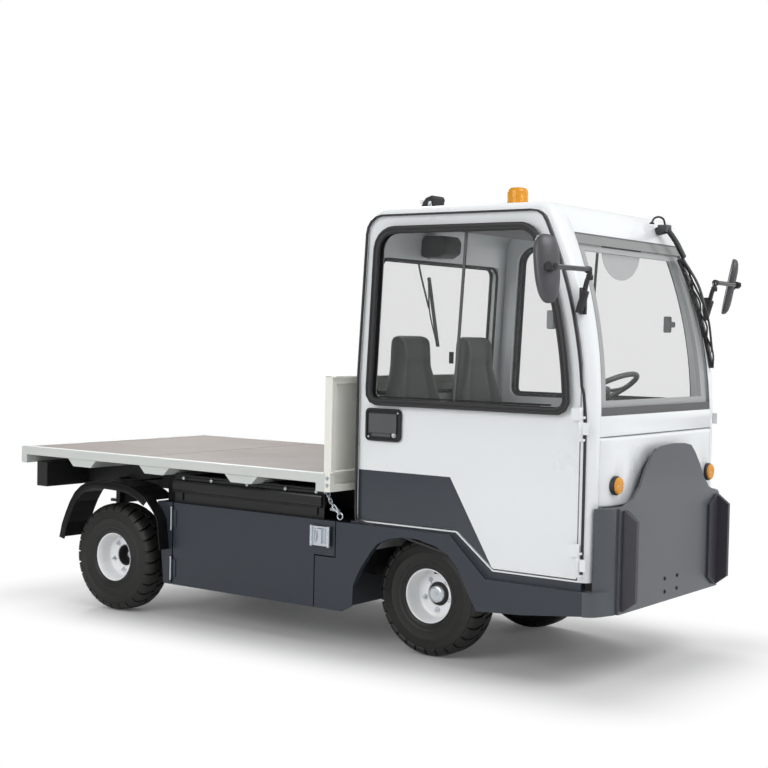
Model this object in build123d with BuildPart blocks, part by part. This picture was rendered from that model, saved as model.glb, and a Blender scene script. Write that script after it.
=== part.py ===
# Airport baggage tug: an electric platform tractor with a closed two-seat cab
# ahead of a low load deck.
#
# Millimetres. X runs forward, Y to the vehicle's left, Z up. The origin is on
# the ground, on the centreline, at half the overall length. Both axles set the
# stations along X: the cab and the nose follow the front axle, the deck reaches
# from the rear overhang to the cab, and the battery bay fills what lies between
# the wheels.
import os
from math import cos, radians, sin
from build123d import *

os.makedirs("parts", exist_ok=True)

# ------------------------------------------------------------ main stations
rear_overhang = 675.0       # deck's rear edge to the rear axle
wheelbase = 1814.0
cab_lead = 853.0            # front axle to the cab's front face
cab_setback = 357.0         # front axle back to the cab's rear face
nose_len = 63.0             # cab front to the bumper plate
plate_t = 12.0
buffer_d = 63.0
cab_gap = 49.0              # cab to headboard
head_t = 32.0

overall = rear_overhang + wheelbase + cab_lead + nose_len + plate_t + buffer_d
x_rear = -overall / 2
rear_axle_x = x_rear + rear_overhang
front_axle_x = rear_axle_x + wheelbase
cab_rear = front_axle_x - cab_setback
cab_front = front_axle_x + cab_lead
plate_x = cab_front + nose_len
plate_face = plate_x + plate_t
x_front = plate_face + buffer_d
deck_front = cab_rear - cab_gap - head_t

# ------------------------------------------------------------------ wheels
tyre_r = 270.0              # 6.00-9 industrial tyre
tyre_w = 160.0
tyre_shoulder = 24.0        # where the lugs turn over, in from the sidewall
tyre_crown = 26.0           # how far a lug's outer end lies below its top
lug_count = 19              # in each of the two rows
lug_share = 0.66            # lug's part of the pitch
lug_depth = 15.0
lug_depth_side = 8.0
bead_in = 18.0              # how far each bead lies inside the sidewall
bead_rise = 42.0
rim_r = 118.0
rim_wall = 10.0
rim_disc_t = 14.0
rim_dish = 92.0             # wheel face to disc
hub_bore_r = 44.0           # open middle of the rear disc
hub_bore_deep = 42.0
hub_r_front = 34.0
hub_cap_in = 60.0           # wheel face to the front hub's cap
bolt_circle_r = 70.0
bolt_count = 5
bolt_r = 9.0
bolt_len = 10.0
rear_wheel_y = 600.0
front_wheel_y = 428.0

# ------------------------------------------------------------ running gear
run_gap = 0.3               # faces that turn past each other
run_fit = 0.05              # radial, a shaft in its bore
axle_tube_r = 48.0
axle_end_y = 505.0
drum_r = 95.0
drum_t = 17.0
diff_r = 125.0
diff_half_w = 110.0
pinion_r = 80.0
pinion_len = 150.0
motor_r = 92.0
motor_len = 115.0
perch_y = 390.0             # spring seats on the rear axle
perch_half_w = 40.0
perch_half_l = 45.0
perch_rise = 60.0
leaf_t = 10.0
leaf_pitch = 12.0
leaf_half_w = 32.0
leaf_lengths = (262.0, 210.0, 150.0)
shackle_half = 14.0
shackle_in = 15.0
shackle_half_w = 18.0
hanger_h = 40.0

kingpin_y = 335.0
kingpin_r = 27.0
kingpin_half_h = 48.0
eye_t = 22.0
eye_r = 30.0
yoke_in = 270.0             # inner face of the axle's yokes
yoke_post = 35.0
beam_half_w = 35.0
beam_bottom = 55.0          # below the wheel centre
beam_top = 22.0             # above the wheel centre
spindle_r = 22.0
spindle_over = 6.0
flange_r = 62.0
flange_in = 33.0            # kingpin to the flange
flange_t = 16.0
wheel_hub_r = 48.0
steer_arm = 130.0
arm_end_in = 30.0
arm_t = 16.0
arm_drop = 42.0             # wheel centre down to the arm's underside
arm_half_root = 20.0
arm_half_tip = 14.0
ball_r = 17.0
ball_t = 20.0
link_r = 11.0
link_drop = 64.0            # wheel centre down to the link
link_boss_h = 34.0

# ----------------------------------------------------------------- chassis
deck_top = 795.0
deck_depth = 83.0           # deck top down to the side rails
rail_y = 310.0
rail_w = 60.0
rail_h = 115.0
rail_t = 8.0
rail_top = deck_top - deck_depth
rail_in = 128.0             # deck's rear edge to the rail ends
cross_h = 83.0
cross_drop = 12.0
cross_half = 30.0
bulkhead_half = 20.0
bulkhead_back = 419.0       # front axle back to the bulkhead
nose_rail_y = 165.0
nose_rail_w = 60.0
nose_rail_rise = 30.0       # wheel centre up to the nose rails
nose_rail_h = 120.0
nose_cross_l = 42.0
cab_pad_h = 20.0
cab_pad_half = 35.0
pad_clear = 2.0
tow_block_half = 120.0
tow_block_in = 10.0
bulkhead_x = front_axle_x - bulkhead_back
nose_z0 = tyre_r + nose_rail_rise
nose_z1 = nose_z0 + nose_rail_h
floor_z = nose_z1 + cab_pad_h

beam_l = 80.0               # rear cross beam
beam_h = 130.0
beam_side_in = 64.0         # deck's side to the beam's end
beam_in = 48.0

jaw_y = 60.0                # tow jaw
jaw_t = 16.0
jaw_gap = 74.0
jaw_bore_r = 14.0
jaw_reach = 96.0
jaw_back_t = 16.0
jaw_foot_t = 12.0
jaw_foot_half = 90.0
jaw_drop = 42.0             # beam's underside to the upper plate's underside
jaw_bore_in = 41.0

# -------------------------------------------------------------------- deck
deck_half_w = 700.0
beam_half_len = deck_half_w - beam_side_in
side_rail_h = 44.0
side_rail_t = 40.0
end_rail_h = 88.0
board_t = 16.0
board_sink = 2.0
board_gap = 2.0
board_joint = 3.0
board_rear_l = 832.0        # rear board
hat_top = 215.0
hat_base = 130.0
hat_side_in = 8.0
hat_x_rear = 457.0          # deck's rear edge to the first cross-member
hat_pitch_1 = 517.0
hat_pitch_2 = 571.0
front_sill_l = 50.0
head_top = 1232.0
head_frame = 34.0
head_skin = 10.0
head_rib = 36.0
head_rib_y = 340.0

# ------------------------------------------------------------- battery bay
cab_y = 605.0               # cab's side
ledge_out = 23.0
skirt_y = cab_y + ledge_out
sheet = 6.0
box_bottom = 170.0
box_rear_lead = 267.0       # rear axle to the bay's rear top edge
box_slope = 46.0
box_post_w = 30.0
box_wall = 8.0
tray_t = 8.0
panel_hinge_lead = 371.0    # rear axle to the panel's hinge line
panel_front_back = 428.0    # front axle back to the panel's front edge
panel_step_back = 547.0
panel_step_z = 414.0
panel_gap = 5.0
panel_frame = 30.0
panel_depth = 26.0
pin_r = 7.0
pin_out = 6.0
pin_len = 110.0
pin_low_z = 197.0
pin_high_z = 442.0
lug_h = 9.7
leaf_w = 26.0
pack_clear = 34.0
pack_side = skirt_y - 68.0
pack_top = rail_top - rail_h - 37.0
cover_l_in = 20.0
cover_front_in = 96.0
cover_h = 68.0
cover_d = 46.0
cover_y = skirt_y - 16.0
cover_top = rail_top - 22.0
cover_round = 18.0
cover_arm_half = 24.0

ledge_hi = tyre_r + 304.0   # side panel's top over the wheel
ledge_lo = tyre_r + 134.0   # and below the door
ledge_drop_x = 188.0        # front axle to the head of the slope
ledge_foot_x = 372.0        # front axle to its foot
ledge_in = 43.0
skirt_front_in = 19.0       # cab front back to the panel's front end
skirt_low_mid = 275.0
skirt_low_front = 305.0
skirt_mid_x = 549.0
lip_w = 30.0
# the arch's outline: forward of the wheel centre, above the wheel centre
ARCH = [(-325.0, -70.0), (-322.0, 26.0), (-279.0, 110.0), (-223.0, 189.0), (-189.0, 226.0),
        (-127.0, 255.0), (-59.0, 267.0), (23.0, 267.0), (117.0, 247.0), (184.0, 215.0),
        (238.0, 161.0), (285.0, 73.0), (333.0, -7.0)]
# the rear mudguard's outline, in the same terms
GUARD = [(-381.0, 67.0), (-362.0, 140.0), (-335.0, 200.0), (-305.0, 258.0), (-269.0, 309.0),
         (-225.0, 345.0), (-172.0, 368.0), (-100.0, 379.0), (-11.0, 380.0), (70.0, 376.0),
         (133.0, 367.0), (195.0, 343.0), (253.0, 311.0)]
GUARD_LEG = [(253.0, 311.0), (300.0, 262.0), (329.0, 219.0), (349.0, 73.0)]
guard_t = 6.0
guard_in = 500.0
guard_out = 692.0
guard_leg_in = skirt_y
guard_stay_half = 14.0
guard_stay_t = 6.0

# --------------------------------------------------------------------- cab
wall = 38.0
roof_z = 1984.0
belt_z = 1250.0
rear_rake = 40.0
screen_foot_z = 1024.0
screen_rake = 230.0
screen_power = 2.2
rear_corner_r = 120.0
front_corner_r = 70.0
side_round = 50.0
roof_skirt = 46.0           # how far the roof panel comes down
roof_crown = 12.0
crown_in = 190.0
crown_round = 9.0
hoop_w = 35.0               # side frame round the door
door_gap = 6.0
glass_t = 6.0
glass_in = 3.0
screen_low = 1109.0
screen_drop = 122.0         # roof down to the screen's top edge
panel_side_in = 59.0        # cab side to the front panel's side joint
screen_side_in = 10.0
screen_taper = 44.0
nose_joint = 3.0
panel_shell = 38.0          # front panel's depth behind the cab's front
bulge = 35.0                # front panel's crown
bulge_side = 27.0
bulge_round = 12.0
rear_glass_y = cab_y - 105.0
rear_glass_low = 1150.0
rear_glass_top = roof_z - 214.0
door_low_rear = ledge_hi + 15.0
door_low_front = ledge_lo + 39.0
door_slope_x0 = 211.0       # front axle to the head of the door's slope
door_slope_x1 = 398.0
door_front_in = 54.0        # cab front back to the opening's front edge
door_t = 34.0
door_skin = 6.0
door_rim = 32.0
window_in = 62.0
window_low = 1126.0
window_round = 90.0
window_foot_round = 42.0
door_glass_t = 5.0
door_glass_in = 15.0
handle_x = 45.0             # door's rear edge to the handle
handle_w = 182.0
handle_low = 957.0
handle_h = 133.0
handle_t = 14.0
handle_frame = 16.0
paddle_in = 28.0
paddle_h = 22.0
hinge_back = 45.0           # cab front back to the hinge axis
hinge_out = 18.0
hinge_r = 8.0
hinge_low_z = 462.0
hinge_high_z = 1010.0
hinge_len = 100.0
hinge_leaf = 52.0
hinge_leaf_t = 6.0
floor_t = 8.0
wheel_box_y = 226.0
wheel_box_front = 281.0
wheel_box_clear = 26.0
wheel_box_t = 6.0

# -------------------------------------------------------------- front end
plate_half_w = 491.0
plate_z0 = 304.0
plate_z1 = 735.0
# the plate's hump: across from the centreline, above the plate's shoulder
HUMP = [(378.0, 31.0), (322.0, 76.0), (272.0, 141.0), (216.0, 199.0), (174.0, 230.0),
        (110.0, 241.0), (0.0, 245.0)]
hole_r = 8.5
hole_half_y = 60.0
hole_half_z = 29.0
hole_z = 372.5
corner_out = 18.0
corner_in = 18.0
corner_flat = 10.0
nose_gap = 3.0
pod_w_low = 290.0
pod_w_mid = 225.0
pod_w_top = 160.0
pod_mid_z = 880.0
pod_top_z = 925.0
buffer_side_in = 19.0
buffer_fin_t = 22.0
buffer_leg = 84.0
buffer_leg_t = 12.0
buffer_low = 316.0
buffer_high = 727.0
buffer_cut = 42.0
lamp_y = 456.0
lamp_z = 826.0
lamp_r = 38.0
lamp_t = 26.0
lamp_seat = 3.0
lamp_edge = 6.0
pod_gap = 2.0
body_top = plate_z1 + nose_gap

# ----------------------------------------------------- mirrors, roof, inside
mirror_arm_r = 9.0
mirror_root_lead = 6.0      # screen pillar's front line to the bracket
mirror_root_z = 1577.0
mirror_root_half = 50.0
mirror_fwd = 32.0
mirror_arm_z = 1697.0
mirror_reach = 322.0
mirror_step = 20.0
mirror_w = 126.0
mirror_h = 266.0
mirror_t = 26.0
mirror_yaw = 26.0
mirror_back = 32.0
mirror_drop = 7.0
beacon_x = 112.0            # front axle to the beacon
beacon_y = 0.0
beacon_r = 49.0
beacon_h = 100.0
beacon_base_r = 55.0
beacon_base_h = 18.0
beacon_round = 20.0
work_lamp_x = 113.0         # cab rear to the work lamp
work_lamp_y = -215.0
work_lamp_l = 64.0
work_lamp_w = 100.0
work_lamp_h = 62.0
work_lamp_foot = 21.0
work_lamp_rise = 22.0

seat_back_x = 50.0          # inner rear wall to the seat's back
seat_y0 = 66.0
seat_w = 410.0
seat_z = 790.0
cushion_h = 96.0
cushion_l = 480.0
back_h = 545.0
back_t = 92.0
back_lean = 62.0
base_l = 470.0
base_half_w = 500.0
dash_depth = 160.0
dash_low = 745.0
dash_top = 1080.0
dash_lip = 60.0
wheel_x = 432.0             # front axle to the steering wheel's centre
wheel_y = 262.0
wheel_z = 1175.0
wheel_r = 180.0
wheel_rim_r = 13.0
wheel_tilt = 30.0
column_r = 20.0
column_len = 440.0
column_foot = 38.0
rear_lamp_w = 140.0
rear_lamp_h = 72.0
rear_lamp_t = 20.0
rear_lamp_in = 26.0


# ------------------------------------------------------------------- helpers
def block(x0, x1, y0, y1, z0, z1, mode=Mode.ADD):
    """A box between two corners."""
    with Locations(((x0 + x1) / 2, (y0 + y1) / 2, (z0 + z1) / 2)):
        Box(abs(x1 - x0), abs(y1 - y0), abs(z1 - z0), mode=mode)


def prism(plane, points, length, mode=Mode.ADD):
    """A closed outline on a plane, carried along the plane's normal."""
    with BuildSketch(plane) as s:
        with BuildLine():
            Polyline(*points, close=True)
        make_face()
    extrude(s.sketch, amount=length, mode=mode)


def side_prism(points, y0, y1, mode=Mode.ADD):
    """An (x, z) outline carried from y0 to y1."""
    prism(Plane.XZ.offset(-y0), points, y0 - y1, mode)


def front_prism(points, x0, x1, mode=Mode.ADD):
    """A (y, z) outline carried from x0 to x1."""
    prism(Plane.YZ.offset(x0), points, x1 - x0, mode)


def plan_prism(points, z0, z1, mode=Mode.ADD):
    """An (x, y) outline carried from z0 to z1."""
    prism(Plane.XY.offset(z0), points, z1 - z0, mode)


def rod_x(y, z, x0, x1, r, mode=Mode.ADD):
    with Locations(Location(((x0 + x1) / 2, y, z), (0, 90, 0))):
        Cylinder(r, abs(x1 - x0), mode=mode)


def rod_y(x, z, y0, y1, r, mode=Mode.ADD):
    with Locations(Location((x, (y0 + y1) / 2, z), (90, 0, 0))):
        Cylinder(r, abs(y1 - y0), mode=mode)


def rod_z(x, y, z0, z1, r, mode=Mode.ADD):
    with Locations(Location((x, y, (z0 + z1) / 2))):
        Cylinder(r, abs(z1 - z0), mode=mode)


def save(builder, name):
    builder.part.label = name
    export_step(builder.part, "parts/" + name + ".step")


SIDES = [("right", -1), ("left", 1)]

# ----------------------------------------------------------------- chassis
rail_y0 = rail_y - rail_w / 2
rail_y1 = rail_y + rail_w / 2
rail_x0 = x_rear + rail_in
beam_x0 = x_rear + beam_in
beam_x1 = beam_x0 + beam_l
hat_xs = (x_rear + hat_x_rear, x_rear + hat_x_rear + hat_pitch_1,
          x_rear + hat_x_rear + hat_pitch_1 + hat_pitch_2)
cab_pad_xs = (cab_rear + wall + cab_pad_half * 2, front_axle_x + ledge_foot_x, cab_front - wall - cab_pad_half * 2)

with BuildPart() as chassis_frame:
    for side in (-1, 1):
        block(rail_x0, bulkhead_x, side * rail_y0, side * rail_y1, rail_top - rail_h, rail_top)
        block(rail_x0, bulkhead_x - bulkhead_half, side * rail_y0, side * (rail_y1 - rail_t),
              rail_top - rail_h + rail_t, rail_top - rail_t, mode=Mode.SUBTRACT)
        n0 = side * (nose_rail_y - nose_rail_w / 2)
        n1 = side * (nose_rail_y + nose_rail_w / 2)
        block(bulkhead_x, cab_front - nose_cross_l, n0, n1, nose_z0, nose_z1)
        for x in cab_pad_xs:
            block(x - cab_pad_half, x + cab_pad_half, side * (nose_rail_y - nose_rail_w / 2 + pad_clear),
                  side * (nose_rail_y + nose_rail_w / 2 - pad_clear), nose_z1, floor_z)
    block(bulkhead_x - bulkhead_half, bulkhead_x + bulkhead_half,
          -(rail_y1 + 5), rail_y1 + 5, nose_z0, rail_top)
    for x in (rail_x0 + cross_half,) + hat_xs:
        block(x - cross_half, x + cross_half, -(rail_y1 - rail_t), rail_y1 - rail_t,
              rail_top - cross_drop - cross_h, rail_top - cross_drop)
    block(cab_front - nose_cross_l, cab_front + nose_gap, -(nose_rail_y + nose_rail_w / 2),
          nose_rail_y + nose_rail_w / 2, nose_z0, nose_z1)
    block(cab_front + nose_gap, plate_x, -tow_block_half, tow_block_half,
          nose_z0 + tow_block_in, nose_z1 - tow_block_in)
    for y in (-hole_half_y, hole_half_y):
        for z in (hole_z - hole_half_z, hole_z + hole_half_z):
            rod_x(y, z, cab_front - nose_cross_l / 2, plate_x + 1, hole_r + 1, mode=Mode.SUBTRACT)
save(chassis_frame, "chassis_frame")

with BuildPart() as rear_beam:
    block(beam_x0, beam_x1, -beam_half_len, beam_half_len, rail_top - beam_h, rail_top)
    for side in (-1, 1):
        block(rail_x0, beam_x1 + 1, side * rail_y0, side * rail_y1, rail_top - rail_h, rail_top,
              mode=Mode.SUBTRACT)
    block(rail_x0, beam_x1 + 1, -rail_y1, rail_y1, rail_top - cross_drop - cross_h,
          rail_top - cross_drop, mode=Mode.SUBTRACT)
save(rear_beam, "rear_beam")

jaw_top = rail_top - beam_h
upper_z = jaw_top - jaw_drop
with BuildPart() as tow_jaw:
    block(beam_x0, beam_x1, -jaw_foot_half, jaw_foot_half, jaw_top - jaw_foot_t, jaw_top)
    jaw_x1 = beam_x0 - beam_in + 4 + jaw_reach
    block(jaw_x1, jaw_x1 + jaw_back_t, -jaw_y - 15, jaw_y + 15,
          upper_z - jaw_gap - jaw_t, jaw_top - jaw_foot_t)
    for z in (upper_z, upper_z - jaw_gap - jaw_t):
        block(jaw_x1 - jaw_reach, jaw_x1, -jaw_y, jaw_y, z, z + jaw_t)
    rod_z(jaw_x1 - jaw_reach + jaw_bore_in, 0, upper_z - jaw_gap - jaw_t - 5, upper_z + jaw_t + 5,
          jaw_bore_r, mode=Mode.SUBTRACT)
save(tow_jaw, "tow_jaw")

# -------------------------------------------------------------------- deck
board_z0 = deck_top - board_sink - board_t
with BuildPart() as deck_frame:
    for side in (-1, 1):
        block(x_rear, deck_front, side * (deck_half_w - side_rail_t), side * deck_half_w,
              deck_top - side_rail_h, deck_top)
    block(x_rear, x_rear + side_rail_t, -deck_half_w, deck_half_w, deck_top - end_rail_h, deck_top)
    block(deck_front - front_sill_l, deck_front, -deck_half_w, deck_half_w, rail_top, board_z0)
    block(deck_front - front_sill_l, deck_front, -deck_half_w, deck_half_w, board_z0 - 1, deck_top)
    for x in hat_xs:
        side_prism([(x - hat_top / 2, board_z0), (x - hat_top / 2, deck_top - side_rail_h + 2),
                    (x - hat_base / 2, rail_top), (x + hat_base / 2, rail_top),
                    (x + hat_top / 2, deck_top - side_rail_h + 2), (x + hat_top / 2, board_z0)],
                   -(deck_half_w - hat_side_in), deck_half_w - hat_side_in)
save(deck_frame, "deck_frame")

board_x0 = x_rear + side_rail_t + board_gap
board_x1 = deck_front - front_sill_l - board_gap
with BuildPart() as deck_boards:
    board_half = deck_half_w - side_rail_t - board_gap
    for x0, x1 in ((board_x0, board_x0 + board_rear_l), (board_x0 + board_rear_l + board_joint, board_x1)):
        block(x0, x1, -board_half, board_half, board_z0, deck_top - board_sink)
save(deck_boards, "deck_boards")

with BuildPart() as headboard:
    block(deck_front, deck_front + head_t, -deck_half_w, deck_half_w, rail_top, head_top)
    block(deck_front + head_skin, deck_front + head_t, -(deck_half_w - head_frame),
          deck_half_w - head_frame, rail_top + head_frame, head_top - head_frame,
          mode=Mode.SUBTRACT)
    for y in (-head_rib_y, 0, head_rib_y):
        block(deck_front + head_skin, deck_front + head_t - 4, y - head_rib / 2, y + head_rib / 2,
              rail_top + head_frame, head_top - head_frame)
save(headboard, "headboard")

# ------------------------------------------------------------- battery bay
box_rear_top = rear_axle_x + box_rear_lead
box_rear_low = box_rear_top + box_slope
hinge_x = rear_axle_x + panel_hinge_lead
hinge_y = skirt_y + pin_out
panel_x1 = front_axle_x - panel_front_back
panel_step_x = front_axle_x - panel_step_back
box_front = bulkhead_x - bulkhead_half
ledge_x0 = front_axle_x + ledge_drop_x
ledge_x1 = front_axle_x + ledge_foot_x
skirt_x1 = cab_front - skirt_front_in
arch = [(front_axle_x + dx, tyre_r + dz) for dx, dz in ARCH]
door_x0 = front_axle_x + door_slope_x0
door_x1 = front_axle_x + door_slope_x1


def sill_line(rise):
    """The two corners of the sloping sill under the door, raised by a clearance."""
    return [(door_x1 + rise * 0.3, door_low_front + rise), (door_x0 + rise * 0.3, door_low_rear + rise)]


PIN_ZS = [(pin_low_z, pin_low_z + pin_len), (pin_high_z, pin_high_z + pin_len)]

for name, s in SIDES:
    with BuildPart() as skirt:
        outline = ([(panel_step_x + panel_gap, box_bottom), (arch[0][0] - 57, box_bottom)] + arch +
                   [(front_axle_x + skirt_mid_x, skirt_low_mid), (skirt_x1, skirt_low_front),
                    (skirt_x1, ledge_lo), (ledge_x1, ledge_lo), (ledge_x0, ledge_hi),
                    (panel_x1 + panel_gap, ledge_hi), (panel_x1 + panel_gap, panel_step_z - panel_gap),
                    (panel_step_x + panel_gap, panel_step_z - panel_gap)])
        side_prism(outline, s * (skirt_y - sheet), s * skirt_y)
        # the ledge, turned in under the cab side
        for a, b in (((cab_rear, ledge_hi), (ledge_x0, ledge_hi)), ((ledge_x0, ledge_hi), (ledge_x1, ledge_lo)),
                     ((ledge_x1, ledge_lo), (skirt_x1, ledge_lo))):
            side_prism([a, b, (b[0], b[1] - sheet), (a[0], a[1] - sheet)],
                       s * (skirt_y - ledge_in), s * (skirt_y - sheet))
        # the sill band between the ledge and the door
        side_prism([(cab_rear, ledge_hi), (ledge_x0, ledge_hi), (ledge_x1, ledge_lo),
                    (cab_front - wall, ledge_lo), (cab_front - wall, door_low_front - door_gap)] +
                   sill_line(-door_gap) + [(cab_rear, door_low_rear - door_gap)],
                   s * (cab_y - wall), s * cab_y)
        # the lip round the wheel arch
        for a, b in zip(arch[1:-1], arch[2:]):
            side_prism([a, b, (b[0], b[1] + sheet), (a[0], a[1] + sheet)],
                       s * (skirt_y - lip_w), s * (skirt_y - sheet))
    save(skirt, "skirt_" + name)

with BuildPart() as battery_box:
    block(box_rear_low, box_front, -(skirt_y - box_post_w), skirt_y - box_post_w, box_bottom, box_bottom + tray_t)
    for s in (-1, 1):
        side_prism([(box_rear_top, ledge_hi), (hinge_x - 4, ledge_hi), (hinge_x - 4, box_bottom),
                    (box_rear_low, box_bottom)], s * (skirt_y - box_post_w), s * skirt_y)
        for z0, z1 in PIN_ZS:
            for a, b in ((z0, z0 + lug_h), (z1 - lug_h, z1)):
                rod_z(hinge_x, s * hinge_y, a, b, pin_r)
                block(hinge_x - 16, hinge_x - 2, s * (skirt_y - 4), s * (hinge_y + 2), a, b)
    side_prism([(box_rear_top, ledge_hi), (box_rear_top + box_wall, ledge_hi),
                (box_rear_low + box_wall, box_bottom), (box_rear_low, box_bottom)],
               -(skirt_y - box_post_w), skirt_y - box_post_w)
    block(box_front - box_wall, box_front, -(skirt_y - box_post_w), skirt_y - box_post_w,
          box_bottom + tray_t, pack_top)
save(battery_box, "battery_box")

with BuildPart() as battery_pack:
    block(hinge_x + pack_clear, box_front - box_wall - pack_clear / 2, -pack_side, pack_side,
          box_bottom + tray_t, pack_top)
save(battery_pack, "battery_pack")

with BuildPart() as battery_covers:
    for s in (-1, 1):
        cx0 = hinge_x - cover_l_in
        cx1 = panel_x1 - cover_front_in
        with BuildSketch(Plane.YZ.offset(cx0)) as sec:
            with Locations((s * (cover_y - cover_d / 2), cover_top - cover_h / 2)):
                Rectangle(cover_d, cover_h)
            fillet(sec.vertices(), cover_round)
        extrude(sec.sketch, amount=cx1 - cx0)
        block(hat_xs[2] - cover_arm_half, hat_xs[2] + cover_arm_half, s * (cover_y - cover_d + 8),
              s * (cover_y - 10), cover_top - cover_h / 2, rail_top)
save(battery_covers, "battery_covers")

for name, s in SIDES:
    with BuildPart() as panel:
        px0 = hinge_x + panel_gap
        side_prism([(px0, box_bottom), (panel_step_x, box_bottom), (panel_step_x, panel_step_z),
                    (panel_x1, panel_step_z), (panel_x1, ledge_hi), (px0, ledge_hi)],
                   s * (skirt_y - sheet), s * skirt_y)
        for x0, x1, z0, z1 in (
                (px0, px0 + panel_frame, box_bottom + tray_t, ledge_hi),
                (panel_step_x - panel_frame, panel_step_x, box_bottom + tray_t, panel_step_z),
                (panel_x1 - panel_frame, panel_x1, panel_step_z, ledge_hi),
                (px0, panel_x1, ledge_hi - panel_frame, ledge_hi),
                (px0, panel_step_x, box_bottom + tray_t, box_bottom + panel_frame)):
            block(x0, x1, s * (skirt_y - panel_depth), s * (skirt_y - sheet), z0, z1)
        for z0, z1 in PIN_ZS:
            rod_z(hinge_x, s * hinge_y, z0 + lug_h + run_gap, z1 - lug_h - run_gap, pin_r)
            block(hinge_x, hinge_x + leaf_w, s * skirt_y, s * (skirt_y + 4),
                  z0 + lug_h + 2, z1 - lug_h - 2)
    save(panel, "battery_door_" + name)

guard = [(rear_axle_x + dx, tyre_r + dz) for dx, dz in GUARD]
guard_leg = [(rear_axle_x + dx, tyre_r + dz) for dx, dz in GUARD_LEG]


def towards_hub(p):
    """The same point, one mudguard thickness nearer the wheel centre."""
    dx, dz = p[0] - rear_axle_x, p[1] - tyre_r
    k = 1 - guard_t / (dx * dx + dz * dz) ** 0.5
    return (rear_axle_x + dx * k, tyre_r + dz * k)


with BuildPart() as fenders:
    for s in (-1, 1):
        side_prism(guard + [towards_hub(p) for p in reversed(guard)], s * guard_in, s * guard_out)
        side_prism(guard_leg + [towards_hub(p) for p in reversed(guard_leg)], s * guard_leg_in, s * guard_out)
        # the stay that carries the guard from the side rail
        block(rear_axle_x - guard_stay_half, rear_axle_x + guard_stay_half, s * rail_y1, s * (guard_in + 60),
              tyre_r + 380 - guard_t, tyre_r + 380 - guard_t + guard_stay_t)
save(fenders, "fenders")

# ------------------------------------------------------------ running gear
with BuildPart() as rear_axle:
    rod_y(rear_axle_x, tyre_r, -axle_end_y, axle_end_y, axle_tube_r)
    rod_y(rear_axle_x, tyre_r, -diff_half_w, diff_half_w, diff_r)
    rod_x(0, tyre_r, rear_axle_x, rear_axle_x + pinion_len, pinion_r)
    for s in (-1, 1):
        rod_y(rear_axle_x, tyre_r, s * (axle_end_y - drum_t), s * axle_end_y, drum_r)
        block(rear_axle_x - perch_half_l, rear_axle_x + perch_half_l, s * (perch_y - perch_half_w),
              s * (perch_y + perch_half_w), tyre_r - perch_rise, tyre_r + perch_rise)
save(rear_axle, "rear_axle")

with BuildPart() as drive_motor:
    rod_x(0, tyre_r, rear_axle_x + pinion_len, rear_axle_x + pinion_len + motor_len, motor_r)
save(drive_motor, "drive_motor")

with BuildPart() as rear_springs:
    for s in (-1, 1):
        for k, half in enumerate(leaf_lengths):
            z = tyre_r + perch_rise + leaf_pitch * (2 - k)
            block(rear_axle_x - half, rear_axle_x + half, s * (perch_y - leaf_half_w),
                  s * (perch_y + leaf_half_w), z, z + leaf_t)
            if k < 2:
                block(rear_axle_x - perch_half_l, rear_axle_x + perch_half_l, s * (perch_y - leaf_half_w),
                      s * (perch_y + leaf_half_w), z - (leaf_pitch - leaf_t), z)
        top = tyre_r + perch_rise + leaf_pitch * 2 + leaf_t
        for x in (rear_axle_x - leaf_lengths[0] + shackle_in, rear_axle_x + leaf_lengths[0] - shackle_in):
            block(x - shackle_half, x + shackle_half, s * (perch_y - shackle_half_w),
                  s * (perch_y + shackle_half_w), top, rail_top - rail_h + hanger_h)
            block(x - shackle_half, x + shackle_half, s * rail_y1, s * (perch_y + shackle_half_w),
                  rail_top - rail_h + 10, rail_top - rail_h + hanger_h)
save(rear_springs, "rear_springs")

with BuildPart() as front_axle:
    zc = tyre_r
    block(front_axle_x - beam_half_w, front_axle_x + beam_half_w, -yoke_in, yoke_in,
          zc - beam_bottom, zc + beam_top)
    for s in (-1, 1):
        block(front_axle_x - beam_half_w - 10, front_axle_x + beam_half_w + 10,
              s * (nose_rail_y - nose_rail_w / 2 + 3), s * (nose_rail_y + nose_rail_w / 2 - 3),
              zc + beam_top - 7, nose_z0)
        for z0, z1 in ((zc - kingpin_half_h - eye_t, zc - kingpin_half_h),
                       (zc + kingpin_half_h, zc + kingpin_half_h + eye_t)):
            block(front_axle_x - eye_r, front_axle_x + eye_r, s * (yoke_in - yoke_post), s * kingpin_y, z0, z1)
            rod_z(front_axle_x, s * kingpin_y, z0, z1, eye_r)
        block(front_axle_x - eye_r, front_axle_x + eye_r, s * (yoke_in - yoke_post), s * yoke_in,
              zc - kingpin_half_h - eye_t, zc + kingpin_half_h + eye_t)
save(front_axle, "front_axle")

arm_end_y = kingpin_y - arm_end_in
arm_z0 = tyre_r - arm_drop
link_z = tyre_r - link_drop
for name, s in SIDES:
    with BuildPart() as knuckle:
        rod_z(front_axle_x, s * kingpin_y, tyre_r - kingpin_half_h + run_gap,
              tyre_r + kingpin_half_h - run_gap, kingpin_r)
        rod_y(front_axle_x, tyre_r, s * kingpin_y, s * (front_wheel_y + spindle_over), spindle_r)
        rod_y(front_axle_x, tyre_r, s * (kingpin_y + flange_in), s * (kingpin_y + flange_in + flange_t), flange_r)
        plan_prism([(front_axle_x, s * (kingpin_y - arm_half_root)), (front_axle_x, s * (kingpin_y + arm_half_root)),
                    (front_axle_x - steer_arm, s * (arm_end_y + arm_half_tip)),
                    (front_axle_x - steer_arm, s * (arm_end_y - arm_half_tip))], arm_z0, arm_z0 + arm_t)
        rod_z(front_axle_x - steer_arm, s * arm_end_y, arm_z0 - 2, arm_z0 - 2 + ball_t, ball_r)
    save(knuckle, "knuckle_" + name)

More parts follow.
